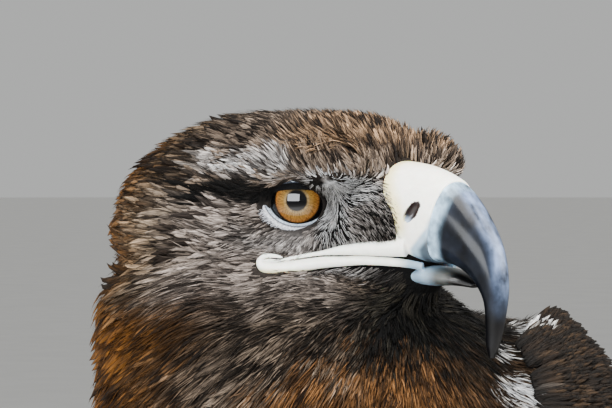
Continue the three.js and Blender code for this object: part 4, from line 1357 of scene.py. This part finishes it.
# %% Lips from the corner of the mouth to the cere
LIP_VOXEL = 0.00042
LOWER_LIP = np.array([                            # x, y, z, half height; it turns over its end
    [-4.4, 29.4, -19.4, 0.55], [-8.2, 30.9, -18.7, 0.75], [-11.6, 31.9, -18.9, 0.9],
    [-13.7, 32.4, -20.8, 1.15], [-11.8, 31.9, -23.0, 1.95], [-5.5, 29.8, -23.2, 2.15],
    [1.6, 25.8, -21.9, 2.2], [7.4, 22.3, -20.9, 2.1], [13, 19.0, -20.5, 1.85],
    [19.2, 15.8, -20.1, 1.7], [26.3, 12.6, -20.3, 1.6], [34, 10.4, -20.8, 1.5],
    [42, 8.6, -21.9, 1.4]], float)
UPPER_LIP = np.array([
    [-6.5, 29.6, -20.3, 0.5], [-2, 28.0, -19.4, 0.7], [3, 25.6, -18.4, 0.8],
    [8, 22.6, -17.5, 1.0], [14.3, 19.4, -16.5, 1.8], [21, 16.3, -16.0, 2.4],
    [29, 13.2, -15.5, 3.1], [36, 10.8, -15.0, 3.6]], float)
GAPE_FOLD = np.array([[-13.4, 30.6, -20.7, 1.5], [-9, 29.0, -20.8, 1.4], [-4, 27.0, -20.6, 1.3],
                      [2, 23.6, -20.0, 1.2]])


def lip(name, path, side, flat):
    """A flattened tube along the path, closed at both ends."""
    s = np.linspace(0, 1, 70)
    line = curve(path, s)
    along = unit(np.gradient(line[:, :3], axis=0))
    out = unit(np.array([0, 1.0, 0]) - along * along[:, 1:2])
    across = np.cross(along, out)
    ends = np.sqrt(np.clip(1 - np.clip(1 - s * 20, 0, 1) ** 2, 0.02, 1))
    r = (line[:, 3] * ends)[:, None, None]
    turn = np.linspace(0, 2 * np.pi, 20, False)[None, :, None]
    ring = (line[:, None, :3] + r * np.cos(turn) * across[:, None]
            + r * flat * np.sin(turn) * out[:, None])
    return rolled(name, HEAD_AT + ring * np.array([1, side, 1]))


joined([cere] + [lip("lip_upper", UPPER_LIP, side, 0.7) for side in (1, -1)], cere,
       "cere_skin")
joined([lower_bill] + [lip("lip_lower", path, side, 0.8) for side in (1, -1)
                       for path in (LOWER_LIP, GAPE_FOLD)], lower_bill, "bill_lower")
for piece in (cere, lower_bill):
    melt(piece, LIP_VOXEL)

# %% Cut the nostrils
NOSTRIL, NOSTRIL_TILT = np.array([40.2, 13.5, -3.0]), math.radians(38)
NOSTRIL_SIZE = (0.0022, 0.0030, 0.0045)           # half its length, depth and height in metres
for side in (1, -1):
    deselect()
    bpy.ops.mesh.primitive_uv_sphere_add(segments=24, ring_count=16, radius=1)
    hole = bpy.context.object
    bpy.ops.transform.resize(value=NOSTRIL_SIZE)
    bpy.ops.transform.rotate(value=-NOSTRIL_TILT, orient_axis="Y", center_override=(0, 0, 0))
    bpy.ops.transform.translate(value=to_metres(HEAD_AT + NOSTRIL * np.array([1, side, 1])))
    bpy.ops.object.transform_apply(location=True, rotation=True, scale=True)
    modified(cere, "BOOLEAN", operation="DIFFERENCE", object=hole, solver="EXACT")
    bpy.data.objects.remove(hole)
print("Cere and lower bill:", len(cere.data.polygons), len(lower_bill.data.polygons), "faces")

# %% [markdown]
# ## Eyes and lids
# The eye is a ball with a fuller, clear front. Its pattern belongs to the way it looks, so
# each point carries where it lies round and out from that axis, and nodes turn that into
# pupil, fibres and rim, with painted shade of the upper lid across the top of the iris.
# Round it runs a black lid margin, widened above the eye by painted shadow of the brow, a
# pale roll below, and a dark groove before the feathers begin, all one closed hoop that dips
# under the coat.

# %% Roll the eyeballs
def about_gaze(side, forwards_mm, up_mm, out_mm):
    """A place given by how far it lies forwards, up and out from the eye's middle."""
    middle, gaze, forwards, up = eye_axes(side)
    return (HEAD_AT + middle + np.asarray(forwards_mm)[..., None] * forwards
            + np.asarray(up_mm)[..., None] * up + np.asarray(out_mm)[..., None] * gaze)


def eyeball_reach(polar):
    """A ball whose clear front stands a little fuller."""
    return EYEBALL + 0.7 * np.exp(-(polar / 0.62) ** 4)


iris_finish, iris_tree, iris_shader = new_finish("wet_eye", 0.4, specular=0.0, coat=1.0,
                                                 coat_roughness=0.01)
iris_map = node(iris_tree, "ShaderNodeVertexColor", layer_name="Gaze")
iris_parts = node(iris_tree, "ShaderNodeSeparateColor")
iris_tree.links.new(iris_map.outputs["Color"], iris_parts.inputs["Color"])
iris_shader.inputs["Coat IOR"].default_value = 1.42
fibres = grained(iris_tree, iris_map.outputs["Color"], 1.0, (44, 44, 26), 0.4, 1.65, 4.0)
specks = grained(iris_tree, iris_map.outputs["Color"], 1.0, (130, 130, 240), 0.6, 1.45, 2.0)
# Painted shade: the iris is kept at 0.42 of its ring colours and darkens to 0.08 towards the top,
# under the upper lid.
iris_lid_shade = node(iris_tree, "ShaderNodeMapRange", {"From Min": 0.72, "From Max": 0.97,
                                                   "To Min": 0.42, "To Max": 0.08})
iris_tree.links.new(iris_parts.outputs["Green"], iris_lid_shade.inputs["Value"])
rings_ramp = node(iris_tree, "ShaderNodeValToRGB")
# Place from the pupil outwards, as a share of half a turn, and colour.
RINGS = [(0.0, (2, 3, 5)), (0.086, (3, 5, 8)), (0.092, (70, 56, 38)), (0.102, (168, 142, 96)),
         (0.125, (162, 122, 56)), (0.17, (154, 108, 46)), (0.208, (156, 100, 44)),
         (0.222, (80, 52, 22)), (0.232, (8, 8, 9)), (1.0, (5, 5, 5))]
while len(rings_ramp.color_ramp.elements) < len(RINGS):
    rings_ramp.color_ramp.elements.new(0.5)
for element, (place, colour) in zip(rings_ramp.color_ramp.elements, RINGS):
    element.position = place
    element.color = (*tone(*colour), 1)
iris_tree.links.new(iris_parts.outputs["Blue"], rings_ramp.inputs["Fac"])
shaded = times(iris_tree, rings_ramp.outputs["Color"], iris_lid_shade.outputs["Result"])
iris_tree.links.new(times(iris_tree, times(iris_tree, shaded, fibres), specks),
                    iris_shader.inputs["Base Color"])

for side, name in SIDES:
    polar, turn = np.meshgrid(np.linspace(0.012, np.pi - 0.03, 90),
                              np.linspace(0, 2 * np.pi, 96, False), indexing="ij")
    reach = eyeball_reach(polar)
    eyeball = rolled("eyeball_" + name, about_gaze(
        side, reach * np.sin(polar) * np.cos(turn), reach * np.sin(polar) * np.sin(turn),
        reach * np.cos(polar)))
    middle, gaze, forwards, up = eye_axes(side)
    d = unit(points_of(eyeball) - HEAD_AT - middle)
    angle = np.arctan2(dot(d, up), dot(d, forwards))
    paint(eyeball, np.stack([0.5 + 0.5 * np.cos(angle), 0.5 + 0.5 * np.sin(angle),
                             np.arccos(np.clip(dot(d, gaze), -1, 1)) / np.pi], 1), "Gaze")
    dressed(eyeball, iris_finish)
    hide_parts("eye_" + name)

# %% Lids
LID_BLACK_AND_BROW_SHADOW, BLUE_LID, DARK_LID = tone(5, 5, 6), tone(196, 208, 222), tone(50, 48, 52)
WHITE_LID, GREY_LID = tone(206, 206, 212), tone(92, 98, 108)
# Each row ends with the ring's colour below the eye and above it. Above the eye the inner rings
# turn black: painted shadow of the brow over the upper lid.
LIDS = [                                          # rear, front, top, foot, out, clear of the eye
    (9.2, 9.6, 3.4, 8.1, 0, 0.25, LID_BLACK_AND_BROW_SHADOW, LID_BLACK_AND_BROW_SHADOW),
    (10.6, 11.0, 4.2, 8.2, 0, 0.35, LID_BLACK_AND_BROW_SHADOW, LID_BLACK_AND_BROW_SHADOW),
    (11.2, 11.6, 5.1, 8.4, 7.0, 0.5, BLUE_LID, LID_BLACK_AND_BROW_SHADOW),
    (11.7, 12.1, 5.7, 9.0, 7.8, 0.75, BLUE_LID, LID_BLACK_AND_BROW_SHADOW),
    (12.0, 12.4, 6.1, 9.3, 7.8, 0.55, DARK_LID, LID_BLACK_AND_BROW_SHADOW),
    (12.4, 12.8, 6.6, 9.7, 8.0, 0.6, WHITE_LID, GREY_LID),
    (13.1, 13.4, 7.4, 11.4, 8.0, 0.5, WHITE_LID, GREY_LID),
    (13.7, 13.9, 8.1, 12.2, 7.2, 0.1, DARK_LID, DARK_LID),
    (14.2, 14.3, 8.8, 12.8, 6.0, -1, LID_BLACK_AND_BROW_SHADOW, DARK_LID),
    (15.2, 15.0, 10.4, 13.6, 3.2, -2, LID_BLACK_AND_BROW_SHADOW, LID_BLACK_AND_BROW_SHADOW),
    (16.6, 16.0, 12.4, 15.4, 0, -20, LID_BLACK_AND_BROW_SHADOW, LID_BLACK_AND_BROW_SHADOW),
    (15.6, 14.8, 11.4, 14.8, -3.5, -20, DARK_LID, DARK_LID),
    (9.0, 9.0, 6.0, 8.0, 1.0, -20, DARK_LID, DARK_LID)]
lid_finish = solid_finish("lid_skin", [(1500, (1, 1, 1.6), 0.35, 1.2)], 0.00025, 0.7,
                          specular=0.08)
LID_TURNS = 128


def lid_rings(side):
    """The hoops of the lids, and the colour of each of their points."""
    turn = np.linspace(0, 2 * np.pi, LID_TURNS, False)
    c, s = np.cos(turn), np.sin(turn)
    rings, colours = [], []
    for rear, front, top, foot, out, clear, low_colour, high_colour in LIDS:
        a = c * np.where(c > 0, front, rear)
        b = np.where(s > 0, top * np.abs(s) ** 0.6, -foot * np.abs(s) ** 1.12)
        off = np.hypot(a, b)
        reach = eyeball_reach(np.arcsin(np.clip(off / EYEBALL, 0, 1)))
        ball = np.sqrt(np.clip(reach ** 2 - off ** 2, 0, None))
        rings.append(about_gaze(side, a, b, np.maximum(out, ball + clear)))
        high = ramp(s - 0.3 * ramp(c, 0.4, 0.9), -0.12, 0.2)
        colours.append(mix(low_colour, high_colour, high))
    return np.array(rings), np.array(colours)


def lid_strands(name, side, rings, count, seed):
    """Short pale bristles that stand on the lids below the eye, greyer ones above it."""
    rng = np.random.default_rng(seed)
    k = 4.4 + 4.4 * rng.random(count)
    turn = 2 * np.pi * rng.random(count)
    high = np.sin(turn) > 0
    k = np.where(high, 4.6 + 5.3 * rng.random(count), k)
    low_k, place = k.astype(int), turn / (2 * np.pi) * LID_TURNS
    column = place.astype(int) % LID_TURNS
    here, there = rings[low_k, column], rings[low_k + 1, column]
    root = mix(here, there, k - low_k)
    middle, gaze, forwards, _ = eye_axes(side)
    radial = unit(there - here)
    normal = unit(gaze + 0.35 * unit(root - HEAD_AT - middle))
    backwards = -forwards + np.array([0, 0, 0.15])
    ways = unit(mix(radial, np.tile(backwards, (count, 1)), np.where(high, 0.75, 0.45)))
    ways = swing(on_skin(ways, normal), normal, rng.normal(0, 0.2, count))
    length = rng.uniform(0.7, 1.0, count) * (2.2 + 0.5 * (k - 4))
    line, ups = straight(root, normal, ways, length, places_of(BRISTLE))
    odd = rng.random(count)[:, None]
    pale = np.where(odd < 0.7, WHITE_LID * 1.3, INK)
    pale = np.where((k > 6.3)[:, None] & (odd < 0.8), INK, pale)
    pale = np.where((k > 7.3)[:, None] & (odd < 0.5), ASH, pale)
    front = (np.cos(turn) > 0.25)[:, None]
    grey = np.where(odd < np.where(front, 0.5, 0.3), BLUE_LID * 1.2,
                    np.where(odd < 0.55, GREY_LID, INK * 1.5))
    base = np.where(high[:, None], grey, pale)
    piece = plumes(name, line, ups, np.full(count, 0.13), np.full(count, 0.45), BRISTLE, SLIM,
                   feather_colour(base, base, shaft=0.85, edge=1.1, root=0.7), head_unwrap(root),
                   rng, sink=0.3)
    dressed(piece, BRISTLY)


for side, name in SIDES:
    rings, colours = lid_rings(side)
    lids = rolled("lids_" + name, rings, hoop=True)
    near = nearest_of(rings.reshape(-1, 3))
    paint(lids, colours.reshape(-1, 3)[[near.find(point)[1] for point in points_of(lids)]])
    modified(lids, "SUBSURF", levels=1, render_levels=1)
    dressed(lids, lid_finish)
    lid_strands("coat_lids_" + name, side, rings, 3400, 112)

# %% Finishes of horn and bare skin
horn_finish = solid_finish(
    "bill_horn", [(190, (1, 1, 0.75), 0.1, 2.2, 5.0), (500, (1, 1, 0.25), 0.85, 1.15, 3.0)],
    0.00012, 0.5, specular=0.06, coat=0.22, coat_roughness=0.2)
wax_finish = solid_finish("waxy_cere", [(420, EVEN, 0.93, 1.06, 4.0)], 0.0003, 0.4,
                          specular=0.45, coat=0.15, coat_roughness=0.25, subsurface=0.15)
CREAM, YELLOW, HORN_PALE = tone(247, 245, 234), tone(222, 204, 122), tone(142, 168, 188)
HORN_DARK, HORN_RIDGE_REFLECTION, HORN_BLACK = tone(11, 14, 20), tone(86, 100, 126), tone(3, 3, 4)
HORN_GREY, NOSTRIL_SHADE, NOSTRIL_HIGHLIGHT = tone(66, 68, 66), tone(26, 12, 10), tone(150, 168, 190)
HOOK_TIP = np.array([66, 0, -53.0])
BORDER = np.array([                               # z, and x where the cere gives way to horn
    [-26, 35.5], [-18.5, 36], [-16, 37], [-13, 40.8], [-8.7, 45.3], [-4.3, 47.6], [0.4, 51],
    [7, 60]])
ridge_line = curve(UPPER_BILL[:, :2], np.linspace(0.2, 1, 200))


def paint_bill(piece):
    """Pale horn at the cere, then dark with a painted reflection along the ridge, and a black
    tip.
    """
    q = points_of(piece) - HEAD_AT
    y = np.abs(q[:, 1])
    to_tip = np.linalg.norm(q - HOOK_TIP, axis=1)
    flat = q[:, None, [0, 2]] - ridge_line[None]
    to_ridge = np.sqrt((flat ** 2).sum(-1).min(1) + y ** 2)
    colour = mix(HORN_BLACK + 0 * q, HORN_DARK, ramp(to_tip, 14, 34))
    # Painted reflection: a paler band along the ridge, where the sky would reflect, fading out
    # near the tip.
    colour = mix(colour, HORN_RIDGE_REFLECTION, (1 - ramp(to_ridge, 1.5, 6.5)) * ramp(to_tip, 12, 34) * 0.8)
    past = (q - CERE_TOP) @ edge_normal
    colour = mix(colour, HORN_PALE, (1 - ramp(past, 0.5, 6.0)) * 0.9)
    paint(piece, colour)


def paint_cere(piece):
    """Cream wax, yellower at its feathered edges, pale horn past it, and nostrils painted dark as
    shade, with a painted highlight at their lower end.
    """
    q = points_of(piece) - HEAD_AT
    x, y, z = q[:, 0], np.abs(q[:, 1]), q[:, 2]
    rim = 1 - ramp(head_distance(q), 0.0, 2.4)
    yellow = np.maximum(rim * 0.75 * ramp(z, -14, -8), ramp(z, 11.5, 14.5) * 0.35)
    colour = mix(CREAM + 0 * q, YELLOW, yellow)
    past = x - np.interp(z, BORDER[:, 0], BORDER[:, 1])
    colour = mix(colour, HORN_PALE, ramp(past, -0.8, 1.6) * 0.95)
    colour = mix(colour, HORN_DARK * 1.4, ramp(past, 2.6, 5.6) * 0.85)
    dx, dz = x - NOSTRIL[0], z - NOSTRIL[2]
    length = dx * math.sin(NOSTRIL_TILT) + dz * math.cos(NOSTRIL_TILT)
    width = dx * math.cos(NOSTRIL_TILT) - dz * math.sin(NOSTRIL_TILT)
    inside = ((length / 4.6) ** 2 + (width / 2.35) ** 2 < 1) & (y < 12.9)
    # Painted shade inside the nostrils, turning to a painted pale highlight at their lower end.
    hole = mix(NOSTRIL_SHADE + 0 * q, NOSTRIL_HIGHLIGHT, 1 - ramp(length, -4.2, -2.2))
    paint(piece, mix(colour, hole, inside.astype(float)))


def paint_lower_bill(piece):
    """Cream lips, yellow below them, and grey horn that ends black."""
    q = points_of(piece) - HEAD_AT
    x, z = q[:, 0], q[:, 2]
    colour = mix(CREAM + 0 * q, YELLOW * 0.85,
                 ramp(-z, 22.6, 24.4) * (1 - ramp(x, 20, 30)) * 0.7)
    for horn, start, end in ((HORN_PALE * 0.7, 31, 38), (HORN_GREY, 42, 48),
                             (HORN_BLACK, 50, 54)):
        colour = mix(colour, horn, ramp(x, start, end))
    paint(piece, colour)


SHARP_FROM = math.radians(40)                     # edges that turn more than this stay sharp
for piece, painted, finish, slot, stands_for in (
        (upper_bill, paint_bill, horn_finish, "bill_horn", "upper_bill"),
        (lower_bill, paint_lower_bill, wax_finish, "pale_skin", "lower_bill"),
        (cere, paint_cere, wax_finish, "pale_skin", "cere")):
    painted(piece)
    choose(piece)
    bpy.ops.object.shade_smooth_by_angle(angle=SHARP_FROM)
    dressed(piece, finish)
    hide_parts(stands_for)

# %% [markdown]
# ## Feet
# An eagle's toes are scaled: broad scutes across the top, small round scales on the sides,
# and fleshy pads below, ending in long black claws. Each toe is rolled with the scutes as
# real steps in its rings, and each claw is a tapering arc.

# %% Roll pads, toes and claws
TOES = [("inner", -25, 52, 40), ("middle", 4, 66, 34),              # heading, length and claw
        ("outer", 42, 52, 30), ("hind", 188, 40, 46)]
LEG_OUT, TOE_START, TOE_RADIUS, TOE_END, TOE_END_Z = 52.0, 10.0, 7.6, 4.6, 5.8
CLAW_RISE, CLAW_TURN = math.radians(38), math.radians(38 + 57)


def toe_ways(heading):
    """The way a toe points, and its side, for a heading in degrees from straight ahead."""
    way = np.array([math.sin(math.radians(heading)), -math.cos(math.radians(heading)), 0])
    return way, np.array([way[1], -way[0], 0])


def toe_rings(heading, length):
    """Rings with knuckles, stepped scutes on top and pads below."""
    way, side = toe_ways(heading)
    s = np.linspace(0, 1, 84)
    knuckle = 1 + 0.08 * np.cos(s * np.pi * 6)
    r = (TOE_RADIUS - 1.6 * s) * knuckle
    r = r + (TOE_END * 1.04 - r) * ramp(s, 0.86, 1.0)
    middle = (np.array([LEG_OUT, FOOT_Y, 0]) + way * (TOE_START + length * s)[:, None]
              + UP * (14 + (TOE_END_Z - 14) * np.minimum(1, s * 1.7))[:, None])
    turn = np.linspace(0, 2 * np.pi, 28, False)
    scute = (s * length / 3.4) % 1
    step = 0.55 * ramp(np.sin(turn), 0.1, 0.6) * (scute[:, None] ** 0.5 - 0.5)
    pads = 0.9 * ramp(-np.sin(turn), 0.2, 0.9) * np.abs(np.sin(s * np.pi * 3))[:, None]
    reach = r[:, None] + step + pads * 0.6
    ring = (middle[:, None] + (reach * np.cos(turn))[..., None] * side
            + (reach * np.sin(turn))[..., None] * UP)
    ring[..., 2] = np.maximum(ring[..., 2], 0.0)
    return ring


def claw_rings(heading, length, claw):
    """Rings along an arc that rises from the toe's end and turns down to a point."""
    way, side = toe_ways(heading)
    start = np.array([LEG_OUT, FOOT_Y, TOE_END_Z]) + way * (TOE_START + length - 2.5)
    radius = (claw + 2.5) / CLAW_TURN
    rings = []
    for s in np.linspace(0, 1, 30):
        a = CLAW_TURN * s - CLAW_RISE
        out = way * math.sin(a) + UP * math.cos(a)
        middle = (start + way * radius * (math.sin(a) + math.sin(CLAW_RISE))
                  + UP * radius * (math.cos(a) - math.cos(CLAW_RISE)))
        r = TOE_END + (0.3 - TOE_END) * s ** 0.9
        turn = np.linspace(0, 2 * np.pi, 18, False)
        ring = middle + np.outer(0.82 * r * np.cos(turn), side) + np.outer(r * np.sin(turn), out)
        ring[:, 2] = np.maximum(ring[:, 2], 0.3)
        rings.append(ring)
    return np.array(rings)


scale_finish, scale_tree, scale_shader = new_finish("scaled_toes", 0.45, specular=0.4, coat=0.1,
                                                    coat_roughness=0.3)
scale_place = node(scale_tree, "ShaderNodeTexCoord")
scales = node(scale_tree, "ShaderNodeTexVoronoi", {"Scale": 420}, feature="DISTANCE_TO_EDGE")
scale_tree.links.new(scale_place.outputs["Object"], scales.inputs["Vector"])
scale_ramp = node(scale_tree, "ShaderNodeValToRGB")
scale_ramp.color_ramp.elements[0].color = (*tone(120, 92, 34), 1)
scale_ramp.color_ramp.elements[1].color = (*tone(216, 178, 66), 1)
scale_ramp.color_ramp.elements[1].position = 0.22
scale_tree.links.new(scales.outputs["Distance"], scale_ramp.inputs["Fac"])
scale_tone = grained(scale_tree, scale_place.outputs["Object"], 90, EVEN, 0.8, 1.15)
scale_tree.links.new(times(scale_tree, scale_ramp.outputs["Color"], scale_tone),
                     scale_shader.inputs["Base Color"])
bumped(scale_tree, scale_shader, scales.outputs["Distance"], 0.0012)
claw_finish = solid_finish("claw_horn", [(300, EVEN, 0.5, 1.6)], 0.0001, 0.25,
                           tone(34, 31, 31), specular=0.5, coat=0.5, coat_roughness=0.1)

pad_angle, pad_turn = np.meshgrid(np.linspace(0.05, np.pi - 0.05, 26),
                                  np.linspace(0, 2 * np.pi, 36, False), indexing="ij")
pad = np.stack([13.5 * np.sin(pad_angle) * np.cos(pad_turn),
                14.5 * np.sin(pad_angle) * np.sin(pad_turn),
                11 * np.cos(pad_angle)], -1) + np.array([LEG_OUT, FOOT_Y, 9.5])
pad[..., 2] = np.maximum(pad[..., 2], 0.0)
for side, name in SIDES:
    foot = [rolled("pad", both_sides(pad, side))]
    foot += [rolled("toe", both_sides(toe_rings(h, l), side)) for _, h, l, _ in TOES]
    claws = [rolled("claw", both_sides(claw_rings(h, l, c), side)) for _, h, l, c in TOES]
    toes = joined(foot, foot[0], "toes_" + name)
    dressed(toes, scale_finish)
    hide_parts("foot_" + name, *[f"toe_{t[0]}_{name}" for t in TOES])
    claws = joined(claws, claws[0], "claws_" + name)
    dressed(claws, claw_finish)
    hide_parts(*[f"claw_{t[0]}_{name}" for t in TOES])
print("Feet rolled")

# %% [markdown]
# ## Finish the file for a first look
# The floor is a wide pale disc under a pale sky, lit by soft boxes.

# %% Floor, sky and lights
bpy.ops.mesh.primitive_circle_add(vertices=96, radius=40, fill_type="NGON")
floor = bpy.context.object
floor.name = "floor"
floor.data.materials.append(solid_finish("pale_floor", [(6, EVEN, 0.97, 1.03)], 0, 0.6,
                                         (0.78, 0.77, 0.75), specular=0.2))

sky = bpy.data.worlds.new("pale_studio")
bpy.context.scene.world = sky
sky.use_nodes = True
pale = sky.node_tree.nodes["Background"].inputs
pale["Color"].default_value, pale["Strength"].default_value = (0.86, 0.87, 0.86, 1), 0.6
right_way = np.array([math.cos(CAMERA_ROUND), math.sin(CAMERA_ROUND), 0.0])
FACE = np.array([18.0, -95.0, 615.0])             # what the lights aim at


def softbox(name, way, far, width, height, power, colour):
    """A soft box on the face, from a way given as right, up and towards the camera."""
    ways = right_way * way[0] + UP * way[1] + back * way[2]
    place = to_metres(FACE + unit(ways) * far)
    bpy.ops.object.light_add(type="AREA", location=place)
    lamp = bpy.context.object
    lamp.name = name
    lamp.data.shape = "RECTANGLE"
    lamp.data.size, lamp.data.size_y = width, height
    lamp.data.energy = power
    lamp.data.color = colour
    lamp.rotation_mode = "QUATERNION"
    lamp.rotation_quaternion = Vector(-unit(ways)).to_track_quat("-Z", "Y")


softbox("window_light", (-0.40, 0.16, 0.90), 1500, 1.15, 0.65, 56, (0.94, 0.97, 1.0))
softbox("overhead_light", (0.25, 1.0, 0.35), 1400, 1.3, 0.9, 84, (1.0, 0.98, 0.95))
softbox("far_side_light", (1.0, 0.55, -0.25), 1700, 0.8, 1.2, 40, (1.0, 0.97, 0.93))
